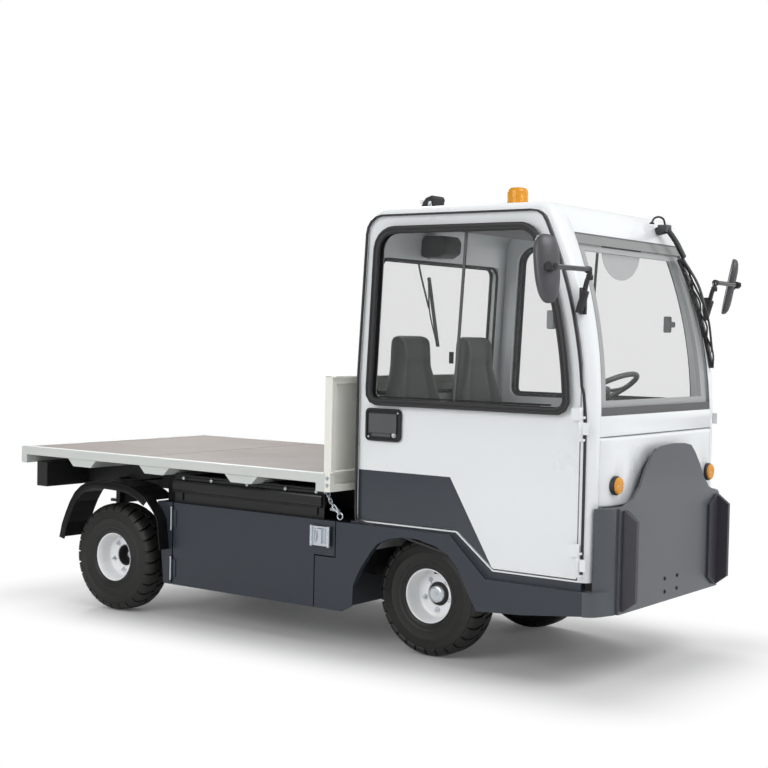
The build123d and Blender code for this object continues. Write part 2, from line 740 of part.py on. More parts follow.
with BuildPart() as tie_rod:
    rod_y(front_axle_x - steer_arm, link_z, -arm_end_y, arm_end_y, link_r)
    for s in (-1, 1):
        rod_z(front_axle_x - steer_arm, s * arm_end_y, arm_z0 - 2 - run_gap - link_boss_h,
              arm_z0 - 2 - run_gap, ball_r - 1)
save(tie_rod, "tie_rod")

# ------------------------------------------------------------------ wheels
# name, station along X, centre across Y, side that faces out
WHEELS = [("rear_right", rear_axle_x, -rear_wheel_y, -1),
          ("rear_left", rear_axle_x, rear_wheel_y, 1),
          ("front_right", front_axle_x, -front_wheel_y, -1),
          ("front_left", front_axle_x, front_wheel_y, 1)]
half_w = tyre_w / 2
lug_pitch = 360 / lug_count


def lug_outline(y, top, low, first):
    """Corners of one row of lugs at a distance across, drawn round the wheel's axle. first turns the row."""
    corners = []
    for k in range(lug_count):
        for share, r in ((-lug_share, low), (-lug_share, top), (lug_share, top), (lug_share, low)):
            turn = radians(first + lug_pitch * (k + share / 2))
            corners.append((r * cos(turn), y, r * sin(turn)))
    return corners


def bead_outline(y, flat_r):
    """Corners of the many-sided bead circle. flat_r is out to the middle of each side."""
    count = 2 * lug_count
    r = flat_r / cos(radians(180 / count))
    return [(r * cos(radians(360 / count * k)), y, r * sin(radians(360 / count * k))) for k in range(count)]


def faceted(outlines):
    """A closed solid with flat faces between outlines that have the same number of corners."""
    faces = [Face(Wire.make_polygon(outlines[0])), Face(Wire.make_polygon(outlines[-1]))]
    for here, there in zip(outlines, outlines[1:]):
        for k in range(len(here)):
            n = (k + 1) % len(here)
            faces.append(Face(Wire.make_polygon([here[k], here[n], there[n], there[k]])))
    return Solid(Shell(faces))


# One tyre round its own middle. The two rows stand half a pitch apart, and the corners
# nearest the ground, one of each row, touch it together.
lug_top = tyre_r / cos(radians(lug_pitch * (lug_share - 0.5) / 2))
with BuildPart() as tread:
    for row in (-1, 1):
        # distance across from the tyre's middle, lug top, groove bottom
        stations = [(0, lug_top, lug_top - lug_depth),
                    (half_w - tyre_shoulder, lug_top, lug_top - lug_depth),
                    (half_w, lug_top - tyre_crown, lug_top - tyre_crown - lug_depth_side)]
        add(faceted([lug_outline(row * y, top, low, -90 + row * lug_pitch / 4) for y, top, low in stations]))
    for row in (-1, 1):
        add(faceted([bead_outline(0, rim_r), bead_outline(row * (half_w - bead_in), rim_r),
                     bead_outline(row * half_w, rim_r + bead_rise)]), mode=Mode.SUBTRACT)

for name, cx, cy, out in WHEELS:
    with BuildPart() as tyre:
        with Locations((cx, cy, tyre_r)):
            add(tread.part)
    save(tyre, "tyre_" + name)

    with BuildPart() as rim:
        face = cy + out * half_w
        disc = face - out * rim_dish
        barrel = half_w - bead_in
        rod_y(cx, tyre_r, cy - barrel, cy + barrel, rim_r)
        rod_y(cx, tyre_r, disc, cy + out * barrel, rim_r - rim_wall, mode=Mode.SUBTRACT)
        rod_y(cx, tyre_r, disc - out * rim_disc_t, cy - out * barrel, rim_r - rim_wall, mode=Mode.SUBTRACT)
        if cx == rear_axle_x:
            rod_y(cx, tyre_r, disc - out * rim_disc_t, out * (axle_end_y + run_gap), drum_r * 0.63)
            rod_y(cx, tyre_r, disc, disc - out * hub_bore_deep, hub_bore_r, mode=Mode.SUBTRACT)
        else:
            rod_y(cx, tyre_r, disc, face - out * hub_cap_in, hub_r_front)
            flange_face = out * (kingpin_y + flange_in + flange_t + run_gap)
            rod_y(cx, tyre_r, flange_face, disc - out * rim_disc_t, wheel_hub_r)
            rod_y(cx, tyre_r, flange_face - out * 4, cy + out * (spindle_over + 0.5), spindle_r + run_fit,
                  mode=Mode.SUBTRACT)
        for k in range(bolt_count):
            with Locations(Location((cx, disc, tyre_r), (0, 360 / bolt_count * k + 18, 0))):
                with Locations(Location((0, out * bolt_len / 2, bolt_circle_r), (90, 0, 0))):
                    Cylinder(bolt_r, bolt_len + 4)
    save(rim, "rim_" + name)


# --------------------------------------------------------------------- cab
def screen_x(z):
    """The cab's front line at a height."""
    t = max(0.0, (z - screen_foot_z) / (roof_z - screen_foot_z))
    return cab_front - screen_rake * t ** screen_power


def rear_x(z):
    """The cab's rear line at a height."""
    return cab_rear + rear_rake * max(0.0, (z - belt_z) / (roof_z - belt_z))


def hoop(y, inset, low, r_rear, r_front, r_foot=0.0):
    """The cab's side outline at an inset, from a low edge up to the roof."""
    top = roof_z - inset
    grow = inset * 1.06
    with BuildSketch(Plane.XZ.offset(-y)) as s:
        with BuildLine():
            heights = [screen_foot_z + (top - screen_foot_z) * k / 5 for k in range(6)]
            pts = [(screen_x(z) - (inset if z < belt_z else grow), z) for z in heights]
            if low < screen_foot_z:
                Polyline((rear_x(top) + inset, top), (rear_x(belt_z) + inset, belt_z),
                         (rear_x(low) + inset, low), (cab_front - inset, low), pts[0])
            else:
                pts = [(screen_x(z) - grow, z) for z in [low + (top - low) * k / 5 for k in range(6)]]
                Polyline((rear_x(top) + inset, top), (rear_x(low) + inset, low), pts[0])
            Spline(*pts)
            Line(pts[-1], (rear_x(top) + inset, top))
        make_face()
        corners = s.vertices().group_by(Axis.Y)[-1].sort_by(Axis.X)
        fillet(corners[0], r_rear)
        corners = s.vertices().group_by(Axis.Y)[-1].sort_by(Axis.X)
        fillet(corners[-1], r_front)
        if r_foot:
            fillet(s.vertices().group_by(Axis.Y)[0], r_foot)
    return s.sketch


below = ledge_lo - 150
FAR = 4000.0


def sill_cut(rise):
    """What lies below the door's lower edge, raised by a clearance."""
    return [(cab_rear - 50, below - 50), (cab_front + 50, below - 50), (cab_front + 50, door_low_front + rise)
            ] + sill_line(rise) + [(cab_rear - 50, door_low_rear + rise)]


panel_y = cab_y - panel_side_in
screen_y0 = panel_y - screen_side_in
screen_y1 = screen_y0 - screen_taper
screen_top = roof_z - screen_drop
roof_split = roof_z - roof_skirt
SCREEN_EDGE = [(-screen_y0, screen_low), (screen_y0, screen_low), (screen_y1, screen_top), (-screen_y1, screen_top)]

with BuildPart() as cab_shell:
    extrude(hoop(-cab_y, 0.0, below, rear_corner_r, front_corner_r), amount=-2 * cab_y)
    front_edges = cab_shell.edges().filter_by(
        lambda e: abs(abs(e.center().Y) - cab_y) < 0.5 and e.center().X > screen_x(roof_z) + 5)
    fillet(front_edges, side_round)
    extrude(hoop(-(cab_y - wall), wall, below - 10, rear_corner_r - wall, front_corner_r - wall * 0.5),
            amount=-2 * (cab_y - wall), mode=Mode.SUBTRACT)
    side_prism(sill_cut(-door_gap), -cab_y - 10, cab_y + 10, mode=Mode.SUBTRACT)
    for s in (-1, 1):
        with BuildPart(mode=Mode.SUBTRACT):
            extrude(hoop(s * (cab_y - wall - 20), hoop_w, below, rear_corner_r - hoop_w, rear_corner_r * 0.6),
                    amount=-s * (wall + 40))
            side_prism(sill_cut(0.0), s * (cab_y - wall - 30), s * (cab_y + 30), mode=Mode.SUBTRACT)
            block(cab_front - door_front_in, cab_front + 50, s * (cab_y - wall - 30), s * (cab_y + 30),
                  below - 60, roof_z, mode=Mode.SUBTRACT)
    front_prism(SCREEN_EDGE, screen_x(roof_z) - 80, cab_front + 50, mode=Mode.SUBTRACT)
    front_prism([(-rear_glass_y, rear_glass_low), (rear_glass_y, rear_glass_low),
                 (rear_glass_y, rear_glass_top), (-rear_glass_y, rear_glass_top)],
                cab_rear - 20, cab_rear + rear_rake + wall + 20, mode=Mode.SUBTRACT)

mid_x = cab_rear + 320
fore_x = screen_x(roof_z) - 70
with BuildPart() as cab_roof:
    add(cab_shell.part)
    block(cab_rear - 50, fore_x, -FAR, FAR, 0, roof_split, mode=Mode.SUBTRACT)
    block(cab_rear - 50, cab_front + 50, -FAR, FAR, 0, screen_top, mode=Mode.SUBTRACT)
    for s in (-1, 1):
        block(cab_rear - 50, cab_front + 50, s * screen_y1, s * FAR, 0, roof_split, mode=Mode.SUBTRACT)
    with BuildPart() as crown:
        block(cab_rear + crown_in, screen_x(roof_z) - crown_in / 2, -(cab_y - crown_in), cab_y - crown_in,
              roof_z - 2, roof_z + roof_crown)
        fillet(crown.edges().group_by(Axis.Z)[-1], crown_round)
save(cab_roof, "cab_roof")

with BuildPart() as cab_rear_wall:
    add(cab_shell.part)
    block(cab_rear - 50, cab_front + 50, -FAR, FAR, roof_split, FAR, mode=Mode.SUBTRACT)
    block(mid_x, cab_front + 50, -FAR, FAR, 0, FAR, mode=Mode.SUBTRACT)
    block(cab_rear - 50, cab_front + 50, -FAR, FAR, 0, door_low_rear - door_gap, mode=Mode.SUBTRACT)
    # the wall below the cab's side band
    block(cab_rear, cab_rear + wall, -(cab_y - wall), cab_y - wall, floor_z, door_low_rear - door_gap)
save(cab_rear_wall, "cab_rear_wall")

pod = [(pod_w_low, body_top), (pod_w_mid, pod_mid_z), (pod_w_top, pod_top_z)]
with BuildPart() as cab_front_panel:
    edge = panel_y - nose_joint
    with BuildSketch(Plane.XY.offset(body_top)) as plan:
        with BuildLine():
            Polyline((cab_front - 2, -edge), (cab_front - panel_shell, -edge), (cab_front - panel_shell, edge),
                     (cab_front - 2, edge))
            Spline((cab_front - 2, edge), (cab_front + bulge_side, lamp_y), tangents=((0.6, -1), (0.04, -1)))
            ThreePointArc((cab_front + bulge_side, lamp_y), (cab_front + bulge, 0), (cab_front + bulge_side, -lamp_y))
            Spline((cab_front + bulge_side, -lamp_y), (cab_front - 2, -edge), tangents=((-0.04, -1), (-0.6, -1)))
        make_face()
    extrude(plan.sketch, amount=screen_foot_z - nose_joint - body_top)
    fillet(cab_front_panel.edges().filter_by(
        lambda e: e.center().X > cab_front and abs(e.bounding_box().size.Z) < 1 and e.length > panel_y), bulge_round)
    room = [(pod_w_low + pod_gap, body_top - 1)] + [(y + pod_gap, z + pod_gap) for y, z in pod[1:]]
    front_prism([(-y, z) for y, z in room] + list(reversed(room)), cab_front, plate_x, mode=Mode.SUBTRACT)
    for s in (-1, 1):
        rod_x(s * lamp_y, lamp_z, cab_front + bulge_side - lamp_seat, plate_x, lamp_r, mode=Mode.SUBTRACT)
save(cab_front_panel, "cab_front_panel")

with BuildPart() as cab_cowl:
    add(cab_shell.part)
    block(cab_rear - 50, cab_front - wall * 3, -FAR, FAR, 0, FAR, mode=Mode.SUBTRACT)
    block(cab_rear - 50, cab_front + 50, -FAR, FAR, 0, screen_foot_z, mode=Mode.SUBTRACT)
    block(cab_rear - 50, cab_front + 50, -FAR, FAR, screen_low, FAR, mode=Mode.SUBTRACT)
    for s in (-1, 1):
        block(cab_rear - 50, cab_front + 50, s * panel_y, s * FAR, 0, FAR, mode=Mode.SUBTRACT)
save(cab_cowl, "cab_cowl")

for name, s in SIDES:
    with BuildPart() as pillar:
        add(cab_shell.part)
        block(cab_rear - 50, cab_front + 50, 0, -s * FAR, 0, FAR, mode=Mode.SUBTRACT)
        block(cab_rear - 50, cab_front + 50, -FAR, FAR, roof_split, FAR, mode=Mode.SUBTRACT)
        block(cab_rear - 50, mid_x, -FAR, FAR, 0, FAR, mode=Mode.SUBTRACT)
        block(cab_rear - 50, cab_front + 50, -FAR, FAR, 0, door_low_front - door_gap, mode=Mode.SUBTRACT)
        block(cab_front - wall * 3, cab_front + 50, 0, s * panel_y, 0, screen_low, mode=Mode.SUBTRACT)
        block(fore_x, cab_front + 50, 0, s * screen_y1, screen_top, FAR, mode=Mode.SUBTRACT)
        for z0 in (hinge_low_z, hinge_high_z):
            z1 = z0 + hinge_len
            for a, b in ((z0, z0 + lug_h), (z1 - lug_h, z1)):
                rod_z(cab_front - hinge_back, s * (cab_y + hinge_out), a, b, hinge_r)
                block(cab_front - hinge_back - 2, cab_front - hinge_back + 14, s * (cab_y - 12),
                      s * (cab_y + hinge_out + 2), a, b)
    save(pillar, "cab_side_" + name)

wheel_box_top = 2 * tyre_r + wheel_box_clear + wheel_box_t
wheel_box_x0 = cab_rear + wall
wheel_box_x1 = front_axle_x + wheel_box_front
with BuildPart() as cab_floor:
    half = cab_y - wall
    block(wheel_box_x1 - wheel_box_t, cab_front - wall, -half, half, floor_z, floor_z + floor_t)
    block(wheel_box_x0, wheel_box_x1, -wheel_box_y, wheel_box_y, floor_z, floor_z + floor_t)
    for s in (-1, 1):
        y0, y1 = s * (wheel_box_y - wheel_box_t), s * wheel_box_y
        block(wheel_box_x0, wheel_box_x1, y0, y1, floor_z, wheel_box_top)
        block(wheel_box_x0, wheel_box_x1, y0, s * half, wheel_box_top - wheel_box_t, wheel_box_top)
        block(wheel_box_x1 - wheel_box_t, wheel_box_x1, y0, s * half, floor_z, wheel_box_top)
save(cab_floor, "cab_floor")

with BuildPart() as windscreen:
    zs = [screen_low + (screen_top - screen_low) * k / 5 for k in range(6)]
    with BuildSketch(Plane.XZ.offset(screen_y0)) as sec:
        with BuildLine():
            out_pts = [(screen_x(z) - glass_in, z) for z in zs]
            in_pts = [(screen_x(z) - glass_in - glass_t, z) for z in zs]
            Spline(*out_pts)
            Line(out_pts[-1], in_pts[-1])
            Spline(*reversed(in_pts))
            Line(in_pts[0], out_pts[0])
        make_face()
    extrude(sec.sketch, amount=-2 * screen_y0)
    with BuildPart(mode=Mode.INTERSECT):
        front_prism(SCREEN_EDGE, screen_x(roof_z) - 80, cab_front + 50)
save(windscreen, "windscreen")

with BuildPart() as rear_window:
    z0, z1, mid = rear_glass_low, rear_glass_top, belt_z
    side_prism([(rear_x(z0) + glass_in, z0), (rear_x(mid) + glass_in, mid), (rear_x(z1) + glass_in, z1),
                (rear_x(z1) + glass_in + glass_t, z1), (rear_x(mid) + glass_in + glass_t, mid),
                (rear_x(z0) + glass_in + glass_t, z0)], -rear_glass_y, rear_glass_y)
save(rear_window, "rear_window")

# --------------------------------------------------------------- cab doors
hinge_line_x = cab_front - hinge_back
for name, s in SIDES:
    y_in = s * (cab_y - door_t)
    with BuildPart() as door:
        extrude(hoop(s * cab_y, hoop_w + door_gap, below, rear_corner_r - hoop_w - door_gap,
                     rear_corner_r * 0.6 - door_gap), amount=s * door_t)
        side_prism(sill_cut(door_gap), s * (cab_y - door_t - 10), s * (cab_y + 10), mode=Mode.SUBTRACT)
        block(cab_front - door_front_in - door_gap, cab_front + 50, s * (cab_y - door_t - 10),
              s * (cab_y + 10), below - 60, roof_z, mode=Mode.SUBTRACT)
        extrude(hoop(s * (cab_y + 10), hoop_w + door_gap + window_in, window_low, window_round,
                     window_round, window_foot_round), amount=s * (door_t + 20), mode=Mode.SUBTRACT)
        # the lower leaf is a pressed skin inside a frame
        rear_in = rear_x(below) + hoop_w + door_gap + door_rim
        front_in = cab_front - door_front_in - door_gap - door_rim
        side_prism([(rear_in, door_low_rear + door_gap + door_rim), (door_x0 + 14, door_low_rear + door_gap + door_rim),
                    (door_x1 + 22, door_low_front + door_gap + door_rim), (front_in, door_low_front + door_gap + door_rim),
                    (front_in, window_low - 50), (rear_in, window_low - 50)],
                   y_in - s, s * (cab_y - door_skin), mode=Mode.SUBTRACT)
        for z0 in (hinge_low_z, hinge_high_z):
            a = z0 + lug_h + run_gap
            b = z0 + hinge_len - lug_h - run_gap
            rod_z(hinge_line_x, s * (cab_y + hinge_out), a, b, hinge_r)
            block(hinge_line_x - hinge_leaf, hinge_line_x - 8, s * cab_y, s * (cab_y + hinge_leaf_t), a + 2, b - 2)
            block(hinge_line_x - 14, hinge_line_x - 2, s * (cab_y + 1), s * (cab_y + hinge_out - 1), a + 2, b - 2)
    save(door, "door_" + name)

    with BuildPart() as glass:
        extrude(hoop(s * (cab_y - door_glass_in), hoop_w + door_gap + window_in, window_low, window_round,
                     window_round, window_foot_round), amount=s * door_glass_t)
    save(glass, "door_glass_" + name)

    with BuildPart() as handle:
        hx0 = rear_x(below) + hoop_w + door_gap + handle_x
        hx1 = hx0 + handle_w
        block(hx0, hx1, s * cab_y, s * (cab_y + handle_t), handle_low, handle_low + handle_h)
        block(hx0 + handle_frame, hx1 - handle_frame, s * (cab_y + handle_t / 2), s * (cab_y + handle_t),
              handle_low + handle_frame * 2, handle_low + handle_h - handle_frame, mode=Mode.SUBTRACT)
        block(hx0 + paddle_in, hx1 - paddle_in, s * (cab_y + handle_t / 2), s * (cab_y + handle_t - 2),
              handle_low + handle_h - handle_frame - paddle_h * 1.6, handle_low + handle_h - handle_frame - paddle_h * 0.6)
    save(handle, "door_handle_" + name)

# --------------------------------------------------------------- front end
hump = [(y, plate_z1 + z) for y, z in HUMP]
with BuildPart() as front_plate:
    right = [(-y, z) for y, z in hump[:-1]]
    front_prism([(-plate_half_w, plate_z0), (plate_half_w, plate_z0), (plate_half_w, plate_z1)] + hump +
                list(reversed(right)) + [(-plate_half_w, plate_z1)], plate_x, plate_face)
    for y in (-hole_half_y, hole_half_y):
        for z in (hole_z - hole_half_z, hole_z + hole_half_z):
            rod_x(y, z, plate_x - 1, plate_face + 1, hole_r, mode=Mode.SUBTRACT)
save(front_plate, "front_plate")

body_x0 = cab_front + nose_gap
with BuildPart() as front_body:
    tip = plate_half_w + corner_out
    low_in = skirt_y - ledge_in
    with BuildSketch(Plane.XY.offset(plate_z0)) as low:
        with BuildLine():
            Polyline((skirt_x1, -low_in), (skirt_x1, -skirt_y), (skirt_x1 + corner_flat, -skirt_y))
            Spline((skirt_x1 + corner_flat, -skirt_y), (plate_x, -tip), tangents=((1, 0.25), (0.45, 1)))
            Polyline((plate_x, -tip), (plate_x, -plate_half_w), (skirt_x1, -plate_half_w), (skirt_x1, -low_in))
        make_face()
    extrude(low.sketch, amount=ledge_lo - plate_z0, dir=(0, 0, 1))
    with BuildSketch(Plane.XY.offset(ledge_lo - 1)) as up:
        with BuildLine():
            Line((body_x0, -(plate_half_w - 4)), (body_x0, -(cab_y - corner_in)))
            Spline((body_x0, -(cab_y - corner_in)), (plate_x, -tip), tangents=((1, 0.55), (0.5, 1)))
            Polyline((plate_x, -tip), (plate_x, -(plate_half_w - 4)), (body_x0, -(plate_half_w - 4)))
        make_face()
    extrude(up.sketch, amount=body_top - ledge_lo + 1, dir=(0, 0, 1))
    mirror(about=Plane.XZ)
    block(body_x0, plate_x, -plate_half_w, plate_half_w, plate_z0, body_top)
    block(skirt_x1, body_x0, -low_in, low_in, plate_z0, ledge_lo - 4)
    front_prism([(-y, z) for y, z in pod] + list(reversed(pod)), body_x0, plate_x)
    block(skirt_x1 - 10, body_x0 + 1, -(nose_rail_y + nose_rail_w / 2 + 5), nose_rail_y + nose_rail_w / 2 + 5,
          plate_z0 - 20, nose_z1 + 10, mode=Mode.SUBTRACT)
    block(body_x0 - 1, plate_x, -(tow_block_half + 2), tow_block_half + 2,
          nose_z0 + tow_block_in - 2, nose_z1 - tow_block_in + 2, mode=Mode.SUBTRACT)
save(front_body, "front_body")

with BuildPart() as front_buffers:
    fin_out = plate_half_w - buffer_side_in
    fin_in = fin_out - buffer_fin_t
    for s in (-1, 1):
        plan_prism([(plate_face, s * (fin_in - buffer_leg)), (plate_face, s * fin_out), (x_front, s * fin_out),
                    (x_front, s * fin_in), (plate_face + buffer_leg_t, s * fin_in),
                    (plate_face + buffer_leg_t, s * (fin_in - buffer_leg))], buffer_low, buffer_high)
        for up, z in ((1, buffer_high), (-1, buffer_low)):
            side_prism([(plate_face + 8, z + up), (x_front + 1, z - up * buffer_cut), (x_front + 1, z + up)],
                       s * (fin_in - 1), s * (fin_out + 1), mode=Mode.SUBTRACT)
            front_prism([(s * (fin_in - buffer_leg - 1), z + up), (s * (fin_in - buffer_leg - 1), z - up * buffer_cut),
                         (s * (fin_in - 8), z + up)], plate_face - 1, plate_face + buffer_leg_t + 1,
                        mode=Mode.SUBTRACT)
save(front_buffers, "front_buffers")

with BuildPart() as indicators:
    for s in (-1, 1):
        lamp_x0 = cab_front + bulge_side - lamp_seat
        rod_x(s * lamp_y, lamp_z, lamp_x0, lamp_x0 + lamp_t, lamp_r)
    fillet(indicators.edges().group_by(Axis.X)[-1], lamp_edge)
save(indicators, "indicators")

# ----------------------------------------------------- mirrors and roof gear
for name, s in SIDES:
    with BuildPart() as mirror:
        root_x = screen_x(mirror_root_z) + mirror_root_lead
        root_y = s * (cab_y - 3)
        end_x = root_x + mirror_fwd + mirror_step
        end_y = s * (cab_y + mirror_reach)
        with BuildLine() as path:
            FilletPolyline((root_x, root_y, mirror_root_z), (root_x + mirror_fwd, root_y, mirror_root_z + 30),
                           (root_x + mirror_fwd, root_y, mirror_arm_z), (end_x, end_y, mirror_arm_z), radius=16)
        with BuildSketch(Plane(origin=path.line @ 0, z_dir=path.line % 0)):
            Circle(mirror_arm_r)
        sweep()
        block(root_x - 12, root_x + 12, s * (cab_y - 12), s * (cab_y + 10),
              mirror_root_z - mirror_root_half, mirror_root_z + mirror_root_half)
        facing = (-cos(radians(mirror_yaw)), -s * sin(radians(mirror_yaw)), 0)
        with BuildSketch(Plane(origin=(end_x - mirror_back, end_y - s * mirror_back, mirror_arm_z - mirror_drop),
                               x_dir=(facing[1], -facing[0], 0), z_dir=facing)):
            Ellipse(mirror_w / 2, mirror_h / 2)
        extrude(amount=mirror_t / 2, both=True)
        with Locations((end_x, end_y, mirror_arm_z)):
            Sphere(mirror_arm_r * 1.9)
        rod_x(end_y, mirror_arm_z, end_x - mirror_back, end_x, mirror_arm_r)
    save(mirror, "mirror_" + name)

with BuildPart() as beacon:
    z0 = roof_z + roof_crown
    rod_z(front_axle_x + beacon_x, beacon_y, z0, z0 + beacon_base_h, beacon_base_r)
    rod_z(front_axle_x + beacon_x, beacon_y, z0 + beacon_base_h, z0 + beacon_base_h + beacon_h, beacon_r)
    fillet(beacon.edges().sort_by(Axis.Z)[-1], beacon_round)
save(beacon, "beacon")

with BuildPart() as work_lamp:
    lx = cab_rear + work_lamp_x
    z0 = roof_z + work_lamp_rise
    block(lx, lx + work_lamp_l, work_lamp_y - work_lamp_w / 2, work_lamp_y + work_lamp_w / 2,
          z0, z0 + work_lamp_h)
    block(lx + work_lamp_l - work_lamp_foot, lx + work_lamp_l, work_lamp_y - work_lamp_w / 4,
          work_lamp_y + work_lamp_w / 4, roof_z, z0)
save(work_lamp, "work_lamp")

with BuildPart() as rear_lamps:
    for s in (-1, 1):
        y1 = s * (beam_half_len - rear_lamp_in)
        block(beam_x0 - rear_lamp_t, beam_x0, y1, y1 - s * rear_lamp_w, rail_top - beam_h / 2 - rear_lamp_h / 2,
              rail_top - beam_h / 2 + rear_lamp_h / 2)
save(rear_lamps, "rear_lamps")

# ------------------------------------------------------------------ inside
seat_x0 = cab_rear + wall + seat_back_x
with BuildPart() as seat_base:
    block(seat_x0, seat_x0 + base_l, -base_half_w, base_half_w, wheel_box_top, seat_z)
    block(seat_x0, seat_x0 + base_l, -(wheel_box_y - wheel_box_t), wheel_box_y - wheel_box_t,
          floor_z + floor_t, wheel_box_top)
save(seat_base, "seat_base")

for name, s in SIDES:
    with BuildPart() as seat:
        block(seat_x0, seat_x0 + cushion_l, s * seat_y0, s * (seat_y0 + seat_w), seat_z, seat_z + cushion_h)
        side_prism([(seat_x0, seat_z + cushion_h), (seat_x0 + back_t, seat_z + cushion_h),
                    (seat_x0 + back_t - back_lean, seat_z + cushion_h + back_h),
                    (seat_x0 - back_lean + 18, seat_z + cushion_h + back_h)],
                   s * seat_y0, s * (seat_y0 + seat_w))
    save(seat, "seat_" + name)

dash_x1 = cab_front - wall
dash_half = panel_y - 5
dash = [(dash_x1, dash_low), (dash_x1, dash_top), (dash_x1 - dash_depth, dash_top - 20),
        (dash_x1 - dash_depth - 20, dash_top - dash_lip - 20), (dash_x1 - dash_depth + 40, dash_top - dash_lip - 80),
        (dash_x1 - dash_depth + 60, dash_low)]
with BuildPart() as dashboard:
    side_prism(dash, -dash_half, dash_half)
save(dashboard, "dashboard")

with BuildPart() as steering:
    with Locations(Location((front_axle_x + wheel_x, wheel_y, wheel_z), (0, -wheel_tilt, 0))):
        Torus(wheel_r, wheel_rim_r)
        Cylinder(wheel_r * 0.22, wheel_rim_r * 2)
        Box(wheel_r * 1.95, wheel_rim_r * 2.2, wheel_rim_r)
        with Locations((0, 0, -column_len / 2)):
            Cylinder(column_r, column_len)
    block(dash_x1 - dash_depth + 5, dash_x1, wheel_y - column_foot, wheel_y + column_foot,
          dash_low, dash_low + column_foot * 2)
    side_prism(dash, -dash_half, dash_half, mode=Mode.SUBTRACT)
save(steering, "steering_wheel")
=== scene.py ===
# %% [markdown]
# # An airport baggage tug, dressed in Blender
# The tug's steelwork comes as a fixed frame from CAD: chassis, deck, cab, doors, wheels.
# Nothing of it is moved here. This lesson gives each surface its finish, swaps the plain
# solids that need it for modelled pieces (tyres, rims, seats, mirrors), adds the small
# things that bolt on, and ends with a studio. Lengths are in metres, +X is forward.

# %% Load the frame
import math

import bpy
import bmesh
from mathutils import Matrix, Vector
from mathutils.geometry import convex_hull_2d


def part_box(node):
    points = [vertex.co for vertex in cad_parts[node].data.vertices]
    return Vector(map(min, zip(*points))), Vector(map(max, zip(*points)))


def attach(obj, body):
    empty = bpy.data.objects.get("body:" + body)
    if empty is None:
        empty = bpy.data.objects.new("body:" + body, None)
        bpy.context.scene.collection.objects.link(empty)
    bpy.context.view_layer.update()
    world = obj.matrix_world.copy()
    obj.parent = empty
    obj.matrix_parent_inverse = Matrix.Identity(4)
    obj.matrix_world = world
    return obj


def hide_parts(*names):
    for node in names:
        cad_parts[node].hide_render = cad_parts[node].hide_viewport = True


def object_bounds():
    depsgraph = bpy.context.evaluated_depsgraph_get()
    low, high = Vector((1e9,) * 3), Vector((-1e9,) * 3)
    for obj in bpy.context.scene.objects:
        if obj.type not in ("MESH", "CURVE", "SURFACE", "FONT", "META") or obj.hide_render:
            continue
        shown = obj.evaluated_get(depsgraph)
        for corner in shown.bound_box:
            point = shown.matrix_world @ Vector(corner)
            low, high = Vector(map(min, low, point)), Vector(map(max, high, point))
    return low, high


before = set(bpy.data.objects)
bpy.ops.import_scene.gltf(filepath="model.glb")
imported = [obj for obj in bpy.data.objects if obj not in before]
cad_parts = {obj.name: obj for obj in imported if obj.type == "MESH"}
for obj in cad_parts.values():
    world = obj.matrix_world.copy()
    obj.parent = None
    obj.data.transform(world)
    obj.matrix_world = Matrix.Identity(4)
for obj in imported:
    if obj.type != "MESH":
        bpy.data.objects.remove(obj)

cad_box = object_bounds()
low, high = cad_box
print("length %.3f m, width %.3f m, height %.3f m" % tuple(high[k] - low[k] for k in range(3)))

# %% [markdown]
# ## Finishes
# Paint, rubber and zinc differ in three things that a shader can hold: how much the
# colour wanders, how much the shine wanders, and how rough the skin is to a fingertip.
# A shader that holds them is a chain of nodes. Three small helpers add, fill and join
# nodes, because written out in full every shader would be pages long.


# %% Shader nodes in few words
def plug(tree, made, inputs):
    """Gives each input of a node a value, or a link from another node's output."""
    for name, value in inputs.items():
        if isinstance(value, bpy.types.NodeSocket):
            tree.links.new(value, made.inputs[name])
        else:
            made.inputs[name].default_value = value


def node(tree, kind, inputs=None, **settings):
    made = tree.nodes.new("ShaderNode" + kind)
    for name, value in settings.items():
        setattr(made, name, value)
    plug(tree, made, inputs or {})
    return made


def calc(tree, kind, *terms):
    """One sum inside a shader."""
    return node(tree, "Math", dict(enumerate(terms)), operation=kind).outputs["Value"]


print("node helpers:", plug.__name__, node.__name__, calc.__name__)

# %% [markdown]
# One function makes every finish from noise in object space. The CAD objects sit at the
# origin, so object space is the tug's own space and a grain keeps its size on every piece.


# %% A finish from noise
def finish(
    name, colour, rough, metal=0.0, coat=0.0, mottle=0.06, patch=3.0, grain=300.0, bump=0.05, spread=0.08,
    gloss=0.5
):
    """colour is linear. patch and grain are noise scales per metre, bump a strength."""
    made = bpy.data.materials.new(name)
    made.use_nodes = True
    tree = made.node_tree
    place = node(tree, "TexCoord").outputs["Object"]
    broad = node(tree, "TexNoise", {"Vector": place, "Scale": patch, "Detail": 4.0}).outputs["Fac"]
    fine = node(tree, "TexNoise", {"Vector": place, "Scale": grain, "Detail": 2.0}).outputs["Fac"]
    darker = (*[c * (1 - mottle) for c in colour], 1)
    lighter = (*[min(1.0, c * (1 + mottle)) for c in colour], 1)
    tint = node(tree, "Mix", data_type="RGBA")
    plug(tree, tint, {"Factor": broad, "A": darker, "B": lighter})
    shine = node(
        tree, "MapRange",
        {"Value": broad, "To Min": max(0.02, rough - spread), "To Max": min(1.0, rough + spread)}
    )
    skin = node(tree, "Bump", {"Height": fine, "Strength": bump, "Distance": 0.001})
    plug(
        tree, tree.nodes["Principled BSDF"],
        {
            "Base Color": tint.outputs["Result"], "Roughness": shine.outputs["Result"],
            "Normal": skin.outputs["Normal"], "Metallic": metal, "Specular IOR Level": gloss,
            "Coat Weight": coat, "Coat Roughness": 0.08,
        }
    )
    return made


print("every finish below comes from", finish.__name__)

